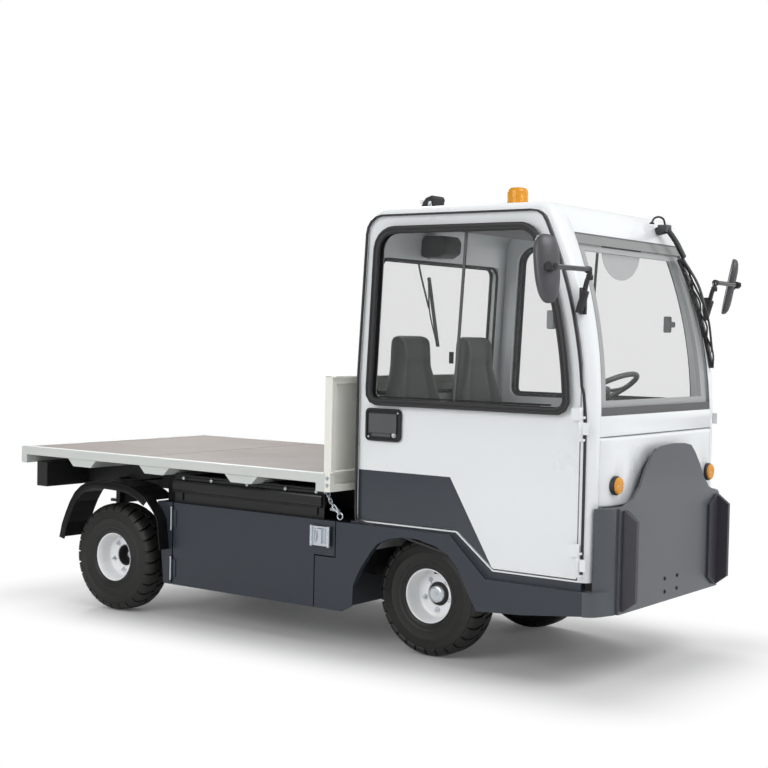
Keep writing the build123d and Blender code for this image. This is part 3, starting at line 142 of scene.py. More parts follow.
# %% [markdown]
# ## Paint
# The cab is sprayed a glossy white, the skirts and the battery box have a dark powder coat
# with a fine orange peel, and the frame under them is plain black. An image isn't needed: a
# sprayed coat has no picture in it, so noise is enough, with a clear coat on the glossy
# ones. The nose has the skirts' dark paint, but its colour is written lighter as painted
# light: it stands in for the sheen and light that the nose gets too little of.

# %% Paints
WHITE = (0.80, 0.825, 0.84)
ANTHRACITE = (0.0265, 0.0345, 0.0470)
CAB_COAT = {"rough": 0.30, "coat": 0.5, "mottle": 0.015, "grain": 90, "bump": 0.015}
cab_white = finish("cab_white", WHITE, **CAB_COAT)
anthracite = finish("anthracite_coat", ANTHRACITE, 0.36, coat=0.10, mottle=0.05, grain=700, bump=0.10)
# painted light: the nose has the skirts' anthracite, written lighter for the sheen and light it lacks
nose_painted_light = finish("nose_painted_light_coat", (0.076, 0.085, 0.097), 0.34, coat=0.15, mottle=0.05, grain=700, bump=0.08)
frame_black = finish("frame_black", (0.014, 0.014, 0.015), 0.45, mottle=0.25, grain=350, bump=0.12)
arm_black = finish("arm_black_coat", (0.016, 0.016, 0.017), 0.24, coat=0.5, mottle=0.08, grain=300, bump=0.04)
rim_white = finish("rim_white", (0.86, 0.87, 0.88), 0.33, coat=0.3, mottle=0.03, grain=200, bump=0.05)
rail_grey = finish("rail_grey", (0.60, 0.63, 0.61), 0.36, coat=0.2, mottle=0.03, grain=240, bump=0.05)
cream = finish("headboard_cream", (0.83, 0.83, 0.77), 0.36, coat=0.2, mottle=0.02, grain=240, bump=0.05)
print("paints:", ", ".join(m.name for m in bpy.data.materials if m.name.endswith(("coat", "white", "cream"))))

# %% [markdown]
# ## Rubber and moulded plastic
# Black isn't one colour on a vehicle. Tyres are dusty and rough, seals are dull, covers are
# smoother. Each gets its own black, grain and roughness: nothing else tells them apart.

# %% Rubbers and plastics
guard_black = finish(
    "guard_black", (0.005, 0.005, 0.0055), 0.40, mottle=0.15, grain=500, bump=0.10, gloss=0.28
)
moulded_black = finish("moulded_black", (0.014, 0.014, 0.0155), 0.48, mottle=0.12, grain=1200, bump=0.30)
cover_black = finish("cover_black", (0.012, 0.012, 0.013), 0.33, mottle=0.15, grain=260, bump=0.08)
buffer_rubber = finish("buffer_rubber", (0.046, 0.043, 0.056), 0.50, mottle=0.12, grain=500, bump=0.20)
tyre_rubber = finish(
    "tyre_rubber", (0.0125, 0.0120, 0.0110), 0.52, mottle=0.30, patch=14, grain=420, bump=0.30, gloss=0.50
)
seal_rubber = finish("seal_rubber", (0.022, 0.022, 0.024), 0.50, mottle=0.10, grain=600, bump=0.15)
band_dark = finish("band_dark", (0.085, 0.087, 0.090), 0.38, mottle=0.08, grain=900, bump=0.10)
# the mirror shell's grey is lighter than the other blacks: partly its own dark grey, partly painted sheen
mirror_shell = finish("mirror_shell", (0.075, 0.074, 0.082), 0.38, mottle=0.08, grain=1100, bump=0.15)
lining_grey = finish("lining_grey", (0.30, 0.31, 0.32), 0.62, mottle=0.06, grain=900, bump=0.20)
frame_grey = finish("frame_grey", (0.46, 0.47, 0.48), 0.55, mottle=0.05, grain=700, bump=0.12)
wheel_grey = finish("wheel_grey", (0.13, 0.132, 0.135), 0.42, mottle=0.10, grain=900, bump=0.15)
mat_black = finish("mat_black", (0.035, 0.036, 0.038), 0.75, mottle=0.12, grain=300, bump=0.40)
seat_vinyl = finish("seat_vinyl", (0.095, 0.094, 0.094), 0.44, mottle=0.10, patch=9, grain=900, bump=0.35)
print(
    "tyre rubber is", round(tyre_rubber.node_tree.nodes["Mix"].inputs["A"].default_value[0], 4),
    "at its darkest"
)

# %% [markdown]
# ## Metal
# Zinc plating is bright and slightly blue, in small patches that catch the light
# differently. A hub is almost black with old grease. Mirror glass is a very smooth metal.

# %% Metals
zinc = finish("bright_zinc", (0.72, 0.76, 0.80), 0.30, metal=1.0, mottle=0.12, patch=60, grain=900, bump=0.10)
plated = finish(
    "plated_steel", (0.70, 0.75, 0.80), 0.24, metal=0.85, mottle=0.10, patch=90, grain=500, bump=0.06
)
hub_iron = finish("hub_iron", (0.020, 0.019, 0.019), 0.60, mottle=0.30, grain=300, bump=0.30)
mirror_silver = finish(
    "mirror_silver", (0.66, 0.68, 0.70), 0.12, metal=1.0, mottle=0.01, grain=5, bump=0.005, spread=0.01
)
print(len(bpy.data.materials), "finishes so far")

# %% [markdown]
# ## Deck boards
# The deck is phenolic-faced plywood: a brown film pressed with a fine wire pattern, dulled
# by dust and by dragged cases. A plain colour would look like card, so the wire pattern
# comes from two crossed waves in the bump, and the dust from broad noise in the colour.


# %% The boards' finish
BOARD_BROWN, BOARD_DUST = (0.158, 0.121, 0.101), (0.30, 0.26, 0.235)
WIRE_SCALE = 40.0           # waves in the pressed pattern, per metre


def board_face():
    made = finish("deck_board", BOARD_BROWN, 0.62, mottle=0.08, patch=1.6, grain=60, bump=0.05)
    tree = made.node_tree
    place = tree.nodes["Texture Coordinate"].outputs["Object"]
    ribs = []
    for axis in "XY":
        wave = node(
            tree, "TexWave", {"Vector": place, "Scale": WIRE_SCALE, "Distortion": 0.4}, bands_direction=axis
        )
        ribs.append(wave.outputs["Fac"])
    pressed = node(
        tree, "Bump", {"Height": calc(tree, "MULTIPLY", *ribs), "Strength": 0.25, "Distance": 0.0008}
    )
    scuff = node(tree, "TexNoise", {"Vector": place, "Scale": 5.0, "Detail": 9.0, "Distortion": 1.2})
    edge = node(
        tree, "MapRange", {"Value": scuff.outputs["Fac"], "From Min": 0.52, "From Max": 0.72, "To Max": 0.16}
    )
    dust = node(tree, "Mix", data_type="RGBA")
    plug(
        tree, dust,
        {"Factor": edge.outputs["Result"], "A": tree.nodes["Mix"].outputs["Result"], "B": (*BOARD_DUST, 1)}
    )
    plug(
        tree, tree.nodes["Principled BSDF"],
        {"Base Color": dust.outputs["Result"], "Normal": pressed.outputs["Normal"]}
    )
    return made


deck_board = board_face()
print("boards:", deck_board.name)

# %% [markdown]
# ## Two colours on one door
# The door's lower rear corner is sprayed dark, as a wedge that follows the sill. It is
# paint, not a panel, so it belongs in the shader: a mask made of straight lines in the
# door's own space switches between the two paints. The mask rides with the door.

# %% Door paint with its wedge
WEDGE_TOP = 0.818           # height of the wedge's level edge
WEDGE_TIP_X = 0.922         # where that edge ends and the slope begins
WEDGE_LEAN = 0.60           # forward run for each metre down
DOOR_SKIN_Y = 0.6035        # only the outer skin is two-tone


def door_paint():
    made = finish("door_two_tone", WHITE, **CAB_COAT)
    tree = made.node_tree
    parts = node(tree, "SeparateXYZ", {"Vector": tree.nodes["Texture Coordinate"].outputs["Object"]})
    x, y, z = (parts.outputs[axis] for axis in "XYZ")
    below = calc(tree, "LESS_THAN", z, WEDGE_TOP)
    run = calc(tree, "MULTIPLY", calc(tree, "SUBTRACT", WEDGE_TOP, z), WEDGE_LEAN)
    behind = calc(tree, "LESS_THAN", x, calc(tree, "ADD", run, WEDGE_TIP_X))
    outside = calc(tree, "GREATER_THAN", calc(tree, "ABSOLUTE", y), DOOR_SKIN_Y)
    wedge = calc(tree, "MULTIPLY", calc(tree, "MULTIPLY", below, behind), outside)
    paint = node(tree, "Mix", data_type="RGBA")
    plug(tree, paint, {"Factor": wedge, "A": tree.nodes["Mix"].outputs["Result"], "B": (*ANTHRACITE, 1)})
    plug(tree, tree.nodes["Principled BSDF"], {"Base Color": paint.outputs["Result"]})
    return made


door_two_tone = door_paint()
print("door paint:", door_two_tone.name)

# %% [markdown]
# ## Glass and lenses
# Window glass is clear with a faint grey-green body. Real refraction through a thin flat
# pane moves nothing that the eye can see, so alpha does the work here: the pane lets most
# light straight through and keeps its gloss. Lens plastic is coloured right through.


# %% Panes and lenses
def pane(name, colour, alpha, rough=0.02):
    made = finish(name, colour, rough, mottle=0.03, patch=2, grain=4, bump=0.004, spread=0.005)
    shader = made.node_tree.nodes["Principled BSDF"]
    plug(made.node_tree, shader, {"Alpha": alpha, "Coat Weight": 0.25, "Coat Roughness": 0.01})
    return made


def lens(name, colour, glow):
    made = finish(name, colour, 0.16, mottle=0.10, patch=60, grain=240, bump=0.05)
    plug(made.node_tree, made.node_tree.nodes["Principled BSDF"], {
        "Transmission Weight": 0.25, "Subsurface Weight": 0.15, "Subsurface Radius": (0.02, 0.01, 0.004),
        "Emission Color": (*colour, 1), "Emission Strength": glow,
    })
    return made


window_glass = pane("window_glass", (0.20, 0.22, 0.215), 0.085)
screen_tint = pane("screen_tint", (0.34, 0.35, 0.35), 0.62, 0.12)
blind_grey = pane("blind_grey", (0.52, 0.53, 0.54), 0.55, 0.30)
amber = lens("amber_lens", (0.78, 0.34, 0.020), 0.06)
ruby = lens("ruby_lens", (0.50, 0.015, 0.012), 0.03)
clear_lens = pane("clear_lens", (0.75, 0.77, 0.78), 0.45, 0.06)
print("glass:", window_glass.name, "lenses:", amber.name, ruby.name)

# %% [markdown]
# ## Dressing the CAD nodes
# A folded sheet has a small radius at each edge that catches the light; a CAD edge has
# none. A bevel that works only where two faces meet at a real angle gives the radius
# without touching the flat faces. The weld before it joins the seams that the CAD export
# leaves along every face.

# %% Which finish goes on which node
NODE_FINISH = [
    ("tyre_", tyre_rubber), ("rim_", rim_white), ("skirt_", anthracite), ("front_body", nose_painted_light),
    ("front_plate", nose_painted_light), ("battery_box", anthracite), ("battery_door_", anthracite),
    ("front_buffers", buffer_rubber), ("door_glass_", window_glass), ("windscreen", window_glass),
    ("rear_window", window_glass), ("door_handle_", moulded_black), ("door_", door_two_tone),
    ("fenders", guard_black), ("battery_covers", cover_black), ("dashboard", moulded_black),
    ("mirror_", moulded_black), ("seat_base", lining_grey), ("seat_", seat_vinyl), ("cab_floor", mat_black),
    ("cab_", cab_white), ("deck_frame", rail_grey), ("deck_boards", deck_board), ("headboard", cream),
    ("indicators", amber), ("beacon", amber), ("rear_lamps", ruby), ("steering_wheel", moulded_black),
    ("work_lamp", moulded_black), ("", frame_black),
]
# the edge radius of the nodes whose names start so; the first that fits is taken
NODE_EDGE = {
    "front_plate": 0.0, "cab_": 0.0025, "door_": 0.002, "skirt_": 0.002, "front_": 0.002, "deck_": 0.002,
    "headboard": 0.002, "battery_": 0.002, "chassis": 0.003, "rear_beam": 0.004, "dashboard": 0.015,
    "seat_base": 0.008,
}


def edge_radius(obj, width, angle):
    """A bevel on the edges where two faces meet at more than the angle."""
    soften = obj.modifiers.new("edge_radius", "BEVEL")
    soften.width = width
    soften.segments = 2
    soften.limit_method = "ANGLE"
    soften.angle_limit = math.radians(angle)
    soften.harden_normals = True


for part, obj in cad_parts.items():
    chosen = next(made for start, made in NODE_FINISH if part.startswith(start))
    for place in obj.material_slots:
        place.material = chosen
    edge = next((size for start, size in NODE_EDGE.items() if part.startswith(start)), 0.0)
    if edge and "glass" not in part:
        join = obj.modifiers.new("seams", "WELD")
        join.merge_threshold = 0.00002
        edge_radius(obj, edge, 40)
print("dressed", len(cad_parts), "nodes")

# %% [markdown]
# ## Shapes from code: turned
# Wheels, bolts, pins and lamps are made on a lathe, and Blender's own cylinder has no
# profile. So a list of distances along the axis, each with a radius, is turned round it.
# Every helper adds to an open bmesh, so that all the bolts of a panel make one piece.


# %% Turned shapes
def spokes(axis, sides):
    """The axis, and one direction at right angles to it for each side of a turned shape."""
    axis = Vector(axis).normalized()
    side = axis.orthogonal().normalized()
    other = axis.cross(side)
    turns = [math.tau * k / sides for k in range(sides)]
    return axis, [side * math.cos(t) + other * math.sin(t) for t in turns]


def loft(bm, rows):
    """Joins closed rows of equal length one after another, and caps the first and the last."""
    for here, there in zip(rows, rows[1:]):
        for k in range(len(here)):
            n = (k + 1) % len(here)
            bm.faces.new((here[k], here[n], there[n], there[k]))
    bm.faces.new(list(reversed(rows[0])))
    bm.faces.new(rows[-1])


def turned(bm, profile, centre, axis, sides=32):
    """A solid from (along the axis, radius) points; its two ends are capped."""
    axis, ways = spokes(axis, sides)
    loft(
        bm,
        [
            [bm.verts.new(Vector(centre) + axis * along + way * radius) for way in ways] for along,
            radius in profile
        ]
    )


def ring(bm, profile, centre, axis, sides=48):
    """Like turned, for a closed profile that stays clear of the axis, such as a tyre's."""
    axis, ways = spokes(axis, sides)
    rows = [
        [bm.verts.new(Vector(centre) + axis * along + way * radius) for along, radius in profile]
        for way in ways
    ]
    for k in range(sides):
        here, there = rows[k], rows[(k + 1) % sides]
        for i in range(len(profile)):
            j = (i + 1) % len(profile)
            bm.faces.new((here[i], there[i], there[j], here[j]))


sample = bmesh.new()
turned(sample, [(0, 0.01), (0.02, 0.01)], (0, 0, 0), (0, 0, 1), 12)
print("a plain pin with 12 sides has", len(sample.faces), "faces")
sample.free()

# %% [markdown]
# ## Shapes from code: swept
# A mirror's arm, a rubber and a wiper blade are one section carried along a line. A curve
# with a bevel could do that, but the section must keep its outward side, as a rubber does
# on a door, so each row of points is set out one by one.


# %% Shapes swept along a line
def smooth_line(points, steps=6):
    """A rounded path through the points (a Catmull-Rom curve)."""
    pts = [Vector(p) for p in points]
    out = []
    for i in range(len(pts) - 1):
        p1, p2 = pts[i], pts[i + 1]
        p0 = pts[i - 1] if i > 0 else p1 * 2 - p2
        p3 = pts[i + 2] if i + 2 < len(pts) else p2 * 2 - p1
        for s in range(steps):
            t = s / steps
            out.append(0.5 * ((2 * p1) + (p2 - p0) * t + (2 * p0 - 5 * p1 + 4 * p2 - p3) * t * t
                              + (3 * p1 - p0 - 3 * p2 + p3) * t ** 3))
    out.append(pts[-1])
    return out


def extruded_line(bm, line, section, normal=None, closed=False):
    """Sweeps (sideways, outward) points along the line.

    normal is the outward way; without it the section rolls freely with the line.
    """
    count = len(line)
    rows = []
    out = Vector(normal) if normal is not None else None
    for k, here in enumerate(line):
        before = line[k - 1] if (closed or k > 0) else here
        after = line[(k + 1) % count] if (closed or k + 1 < count) else here
        along = (after - before).normalized()
        if normal is not None:
            facing = (out - along * out.dot(along)).normalized()
        else:
            out = along.orthogonal().normalized() if out is None else (
                out - along * out.dot(along)
            ).normalized()
            facing = out
        side = along.cross(facing)
        rows.append([bm.verts.new(here + side * a + facing * b) for a, b in section])
    if not closed:
        loft(bm, rows)
        return
    for here, there in zip(rows, rows[1:] + rows[:1]):
        for i in range(len(section)):
            j = (i + 1) % len(section)
            bm.faces.new((here[i], here[j], there[j], there[i]))


def disc(radius, sides=10):
    """A round section."""
    turns = [math.tau * k / sides for k in range(sides)]
    return [(radius * math.cos(t), radius * math.sin(t)) for t in turns]


def tube(bm, line, radius, sides=10, closed=False):
    extruded_line(bm, [Vector(p) for p in line], disc(radius, sides), closed=closed)


print("a path through 3 points gets", len(smooth_line([(0, 0, 0), (1, 0, 0), (1, 1, 0)])), "points")

# %% [markdown]
# ## Shapes from code: plates and bolts
# Sheet parts are cut flat, so an outline and two levels describe them. A block is the plain
# case. A hexagon bolt is two turned shapes, one of them with six sides.


# %% Blocks, plates and bolts
def block(bm, a, b):
    """A box between two corners."""
    for v in bmesh.ops.create_cube(bm, size=1.0)["verts"]:
        for k in range(3):
            v.co[k] = (a[k] + b[k]) / 2 + v.co[k] * abs(b[k] - a[k])


def slab(bm, outline, axis, a, b):
    """An outline in the two other axes, given thickness from a to b along axis 0, 1 or 2."""
    keep = [k for k in range(3) if k != axis]
    rows = []
    for level in (a, b):
        row = []
        for p in outline:
            co = [0.0, 0.0, 0.0]
            co[axis] = level
            co[keep[0]], co[keep[1]] = p
            row.append(bm.verts.new(co))
        rows.append(row)
    loft(bm, rows)


def round_corners(x0, x1, y0, y1, radius, steps=6):
    """A rectangle's outline with its four corners rounded."""
    out = []
    for cx, cy, start in ((x1 - radius, y1 - radius, 0), (x0 + radius, y1 - radius, 90),
                          (x0 + radius, y0 + radius, 180), (x1 - radius, y0 + radius, 270)):
        turns = [math.radians(start + 90 * k / steps) for k in range(steps + 1)]
        out += [(cx + radius * math.cos(t), cy + radius * math.sin(t)) for t in turns]
    return out


def hex_bolt(bm, place, axis, across=0.016, height=0.009):
    """A washer under a chamfered hexagon head."""
    turned(bm, [(0, across * 0.75), (0.0018, across * 0.75)], place, axis, 20)
    turned(
        bm, [(0.0018, across * 0.57), (height * 0.85, across * 0.57), (height, across * 0.48)], place, axis, 6
    )


print("a rounded rectangle has", len(round_corners(0, 1, 0, 1, 0.1)), "points")

# %% [markdown]
# ## Closing a piece
# A bmesh is only a draft. It becomes part of the tug with a name, a finish, a body to ride
# on, and smooth shading that stops at real edges. One helper holds those lines.


# %% Close a bmesh as a piece
def piece(name, bm, material, body, edge=0.0, smooth=35, replaces=()):
    """Closes the bmesh as an object that rides on a body."""
    bmesh.ops.recalc_face_normals(bm, faces=bm.faces)
    mesh = bpy.data.meshes.new(name)
    bm.to_mesh(mesh)
    bm.free()
    obj = bpy.data.objects.new(name, mesh)
    bpy.context.collection.objects.link(obj)
    mesh.materials.append(material)
    if smooth:
        mesh.shade_smooth()
        mesh.set_sharp_from_angle(angle=math.radians(smooth))
    if edge:
        edge_radius(obj, edge, 35)
    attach(obj, body)
    if replaces:
        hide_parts(*replaces)
    return obj


SIDES = (("right", -1), ("left", 1))        # y is negative on the right

# %% [markdown]
# ## Tyres
# These are block-tread industrial tyres. Two rows of lugs meet in a zigzag at the middle,
# half a pitch apart, and each lug wraps over the shoulder onto the sidewall. The carcass is
# a turned ring with the rim-guard ridge and the fine mould lines; the lugs are small closed
# blocks that sit in it. The outline stays that of the plain tyre.

# %% The tyre's two shapes in figures
LUGS = 28                   # in each of the two rows
LUG_DEPTH = 0.016
SHOULDER_DEPTH = 0.011      # lugs are shallower where they wrap over the shoulder
SHOULDER_DROP = 0.03
# across from the middle, drop below the tyre's radius, skew in pitches, half width in pitches
LUG_ROWS = [
    (0.0015, 0.0, 0.00, 0.36), (0.012, 0.0, 0.03, 0.43), (0.034, 0.0002, 0.22, 0.37),
    (0.050, 0.0022, 0.30, 0.41), (0.064, 0.0080, 0.34, 0.415), (0.0735, 0.018, 0.35, 0.41),
    (0.0785, 0.031, 0.35, 0.385),
]
# half of the carcass section: across from the middle, radius
CARCASS = [
    (0.060, 0.118), (0.070, 0.122), (0.0745, 0.134), (0.0765, 0.136), (0.0765, 0.141), (0.0745, 0.1435),
    (0.0770, 0.156), (0.0778, 0.158), (0.0778, 0.1595), (0.0768, 0.1605), (0.0782, 0.190), (0.0790, 0.192),
    (0.0790, 0.1935), (0.0780, 0.195), (0.0775, 0.222), (0.0740, 0.238), (0.066, 0.247), (0.050, 0.2525),
    (0.020, 0.2535)
]


print("tread of", 2 * LUGS, "lugs, carcass of", 2 * len(CARCASS), "points")

# %% [markdown]
# A lug is a closed block built in rows across the tread. A row has three points on top and
# two below, is turned on by its skew, and drops with the shoulder. Cutting grooves out of a
# solid ring with booleans would look the same, but slowly and with bad faces.


# %% One lug, one tyre
def lug(bm, centre, radius, side, turn):
    pitch = math.tau / LUGS
    rows = []
    for across, drop, skew, half in LUG_ROWS:
        row = []
        for depth, spread in ((0.0, (-half, 0.0, half)), (LUG_DEPTH, (half + 0.05, -half - 0.05))):
            over = drop > SHOULDER_DROP
            sink = min(depth, SHOULDER_DEPTH) if over else depth
            y = side * (across - (sink if over else 0.0) * 0.6)
            r = radius - drop - sink
            for s in spread:
                t = turn + pitch * side * skew + pitch * s
                row.append(bm.verts.new(centre + Vector((math.cos(t) * r, y, math.sin(t) * r))))
        rows.append(row)
    loft(bm, rows)


def make_tyre(node, body):
    a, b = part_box(node)
    centre = Vector([(a[k] + b[k]) / 2 for k in range(3)])
    bm = bmesh.new()
    outline = CARCASS + [(-y, r) for y, r in reversed(CARCASS)]
    ring(bm, outline, centre, (0, 1, 0), sides=96)
    for side in (-1, 1):
        for k in range(LUGS):
            turn = math.tau / LUGS * (k + side * 0.25) - math.tau / 4
            lug(bm, centre, (b[2] - a[2]) / 2, side, turn)
    made = piece(node + "_treaded", bm, tyre_rubber, body, edge=0.0022, smooth=40, replaces=[node])
    return made, centre


WHEELS = [("rear_right", "rear_wheel_right", -1), ("rear_left", "rear_wheel_left", 1),
          ("front_right", "front_wheel_right", -1), ("front_left", "front_wheel_left", 1)]
hubs = {}
for name, body, out in WHEELS:
    tyre, hubs[name] = make_tyre("tyre_" + name, body)
print("tyre triangles before the edge radius:", sum(len(p.vertices) - 2 for p in tyre.data.polygons))

# %% [markdown]
# ## Rims
# The wheel is a pressed steel dish welded deep inside a rolled barrel, sprayed white. One
# closed profile, turned once, gives both. The hub is seen through the dish: a dark iron
# bore at the rear, and at the front a zinc cap that stands out of a dark ring.

# %% Rims
DISH = -0.012               # the dish's face, out from the wheel's middle
# distance out from the wheel's middle, radius
RIM = [
    (0.0615, 0.1185), (0.0640, 0.1225), (0.0668, 0.1228), (0.0680, 0.1200), (0.0668, 0.1165),
    (0.0600, 0.1125), (0.040, 0.1085), (0.018, 0.1065), (0.000, 0.1050), (-0.006, 0.1020),
    (-0.010, 0.0940), (DISH, 0.0860), (DISH, 0.0560), (DISH - 0.004, 0.0530), (-0.022, 0.0530),
    (-0.026, 0.0600), (-0.024, 0.1000), (-0.040, 0.1080), (-0.060, 0.1125), (-0.0668, 0.1165),
    (-0.0680, 0.1200), (-0.0668, 0.1228), (-0.0640, 0.1225), (-0.0615, 0.1185),
]
for name, body, out in WHEELS:
    bm = bmesh.new()
    ring(bm, RIM, hubs[name], (0, out, 0), sides=72)
    piece("rim_%s_pressed" % name, bm, rim_white, body, smooth=32, replaces=["rim_" + name])
print("rims", round(2 * max(r for _, r in RIM), 3), "m across")

# %% [markdown]
# The hubs are turned castings. At the front the bearing housing ends in a shallow dome; at
# the rear the dish has a bore, and the half shaft's end is seen down in it.

# %% Hubs
FRONT_HUB = [(-0.043, 0.052), (-0.018, 0.0525), (-0.016, 0.048), (-0.010, 0.046)]
REAR_HUB = [
    (-0.090, 0.060), (-0.026, 0.0535), (-0.017, 0.0535), (-0.017, 0.047), (-0.060, 0.044),
    (-0.060, 0.001), (-0.090, 0.001),
]
for name, body, out in WHEELS:
    bm = bmesh.new()
    if name.startswith("front"):
        turned(bm, FRONT_HUB, hubs[name], (0, out, 0), 48)
    else:
        ring(bm, REAR_HUB, hubs[name], (0, out, 0), sides=48)
    piece("hub_%s" % name, bm, hub_iron, body, smooth=35)
print(
    "front wheels' middle at x", round(hubs["front_right"].x, 3), "and rear at",
    round(hubs["rear_right"].x, 3)
)

# %% [markdown]
# Five zinc nuts hold each wheel. A nut is three turned shapes on one axis: a round flange, a
# hexagon, and the end of its stud. The front bearing has a pressed zinc cap in the middle.

# %% Wheel nuts and caps
NUT_CIRCLE, NUT_START = 0.072, 53
FRONT_CAP = [
    (-0.012, 0.0375), (0.008, 0.0365), (0.012, 0.0345), (0.0135, 0.030), (0.0115, 0.028),
    (0.0115, 0.012), (0.014, 0.010),
]
SHAFT_END = [(-0.062, 0.020), (-0.050, 0.020), (-0.046, 0.016)]
for name, body, out in WHEELS:
    centre, axis = hubs[name], (0, out, 0)
    bm = bmesh.new()
    if name.startswith("front"):
        turned(bm, FRONT_CAP, centre, axis, 40)
    else:
        turned(bm, SHAFT_END, centre, axis, 24)
    for k in range(5):
        turn = math.radians(NUT_START + 72 * k)
        spot = centre + Vector((math.cos(turn) * NUT_CIRCLE, out * DISH, math.sin(turn) * NUT_CIRCLE))
        turned(bm, [(0, 0.0125), (0.002, 0.0125), (0.004, 0.0100)], spot, axis, 20)
        turned(bm, [(0.004, 0.0098), (0.013, 0.0098), (0.0145, 0.0085)], spot, axis, 6)
        turned(bm, [(0.0145, 0.0055), (0.022, 0.0055), (0.0228, 0.0045)], spot, axis, 12)
    piece("wheel_nuts_%s" % name, bm, zinc, body, smooth=30)
print("nuts on a circle of", NUT_CIRCLE, "m radius")

# %% [markdown]
# A valve stem pokes through the dish near the rim. It is a short rubber tube that leans
# outward, with a wider cap on the same line.

# %% Valves
VALVE_CIRCLE, VALVE_TURN = 0.092, math.radians(89)
for name, body, out in WHEELS:
    x, z = math.cos(VALVE_TURN) * VALVE_CIRCLE, math.sin(VALVE_TURN) * VALVE_CIRCLE
    foot = hubs[name] + Vector((x, out * (DISH + 0.002), z))
    stem = foot + Vector((0.004, out * 0.030, 0.006))
    bm = bmesh.new()
    tube(bm, [foot, (foot + stem) / 2, stem], 0.0042, 10)
    tube(bm, [stem, stem + (stem - foot).normalized() * 0.009], 0.0052, 10)
    piece("valve_%s" % name, bm, seal_rubber, body)
print("valves lean out", round(abs(stem.y - foot.y), 3), "m")

# %% [markdown]
# ## Seats
# Two moulded seats in dark vinyl. Each back narrows towards the top and has bolsters that
# curl forward; each cushion crowns in the middle and drops at its front edge. A pad is one
# closed skin: a front sheet and a back sheet that share their rim. The seams press into it
# as narrow valleys, and a subdivision rounds the rest.

# %% A closed padded skin
SEAT_COLS, SEAT_ROWS = 25, 29


def pad_skin(bm, surface):
    """Lays a front and a back sheet that share their rim.

    surface(u, v, face, on_rim) gives a point: u runs -1..1 across, v 0..1 along, and face is
    1 outside and 0 behind.
    """
    grids = []
    for face in (1, 0):
        grid = []
        for j in range(SEAT_ROWS):
            row = []
            for i in range(SEAT_COLS):
                u, v = -1 + 2 * i / (SEAT_COLS - 1), j / (SEAT_ROWS - 1)
                on_rim = i in (0, SEAT_COLS - 1) or j in (0, SEAT_ROWS - 1)
                if face == 0 and on_rim:
                    row.append(grids[0][j][i])
                else:
                    row.append(bm.verts.new(surface(u, v, face, on_rim)))
            grid.append(row)
        grids.append(grid)
    for face, grid in zip((1, 0), grids):
        for j in range(SEAT_ROWS - 1):
            for i in range(SEAT_COLS - 1):
                quad = (grid[j][i], grid[j][i + 1], grid[j + 1][i + 1], grid[j + 1][i])
                bm.faces.new(quad if face else tuple(reversed(quad)))


def seam(t, at, width=0.03, depth=0.007):
    """How far a sewn line at `at` pulls the skin in, for a point at t."""
    return -depth * math.exp(-((t - at) / width) ** 2)


def rounded(u, v, sharp=0.22):
    """Pulls the corners of the unit square in, so that the pad's outline is rounded."""
    x, y = u, 2 * v - 1
    over = max(0.0, abs(x) - (1 - sharp)) / sharp, max(0.0, abs(y) - (1 - sharp)) / sharp
    reach = math.hypot(*over)
    if reach > 1 and min(over) > 0:
        scale = 1 / reach
        x = math.copysign((1 - sharp) + over[0] * scale * sharp, x)
        y = math.copysign((1 - sharp) + over[1] * scale * sharp, y)
    return x, (y + 1) / 2


print("a pad has", (SEAT_COLS - 1) * (SEAT_ROWS - 1) * 2, "faces before it is rounded")

# %% [markdown]
# The back narrows above the waist like a bottle, leans a little, and its two bolsters come
# forward at the sides, deepest low down. One seam crosses it under the head, and one runs
# up each side inside the bolster.


# %% Seat back
def seat_back(bm, foot, width, height, lean, thick):
    def surface(u, v, face, on_rim):
        u2, v2 = rounded(u, v)
        waist = 0.60 + 0.40 / (1 + math.exp((v2 - 0.60) / 0.075)) - 0.05 * (1 - v2) ** 2
        y = foot[1] + u2 * width / 2 * waist
        z = foot[2] + v2 * height
        x = foot[0] - lean * v2 - 0.020 * math.sin(math.pi * v2)
        edge = max(abs(u), abs(2 * v - 1))
        rim = (1 - edge ** 6) ** 0.5
        bolster = 0.048 * max(0.0, abs(u) - 0.45) ** 1.4 / 0.55 ** 1.4 * (1 - 0.55 * v)
        if on_rim:
            x += bolster
        elif face:
            x += (thick * 0.52 + seam(v, 0.74) + seam(abs(u), 0.52, 0.05) * (v < 0.76)) * rim + bolster
        else:
            x -= thick * 0.42 * rim * (1 - 0.25 * abs(u)) - bolster * 0.8
        return Vector((x, y, z))
    pad_skin(bm, surface)


print("back seams cross at 0.74 of the height")

# %% [markdown]
# The cushion is the same kind of skin lying down: sides that roll up a little, a front edge
# that falls away under the knees, and one seam across it.


# %% Seat cushion
def seat_cushion(bm, foot, width, length, thick):
    def surface(u, v, face, on_rim):
        u2, v2 = rounded(u, v)
        x = foot[0] + v2 * length
        y = foot[1] + u2 * width / 2
        edge = max(abs(u), abs(2 * v - 1))
        rim = (1 - edge ** 6) ** 0.5
        roll = 0.022 * max(0.0, abs(u) - 0.5) ** 1.3
        front = -0.020 * max(0.0, v2 - 0.80) ** 1.5 / 0.2 ** 1.5
        z = foot[2] + thick * 0.5
        if not on_rim and face:
            z += (
                thick * 0.46 + roll + front + seam(abs(u), 0.55, 0.05, 0.006) + seam(v, 0.62, 0.025, 0.005)
            ) * rim
        elif not on_rim:
            z -= thick * 0.47 * rim
        return Vector((x, y, z))
    pad_skin(bm, surface)


print("cushion skin ready")
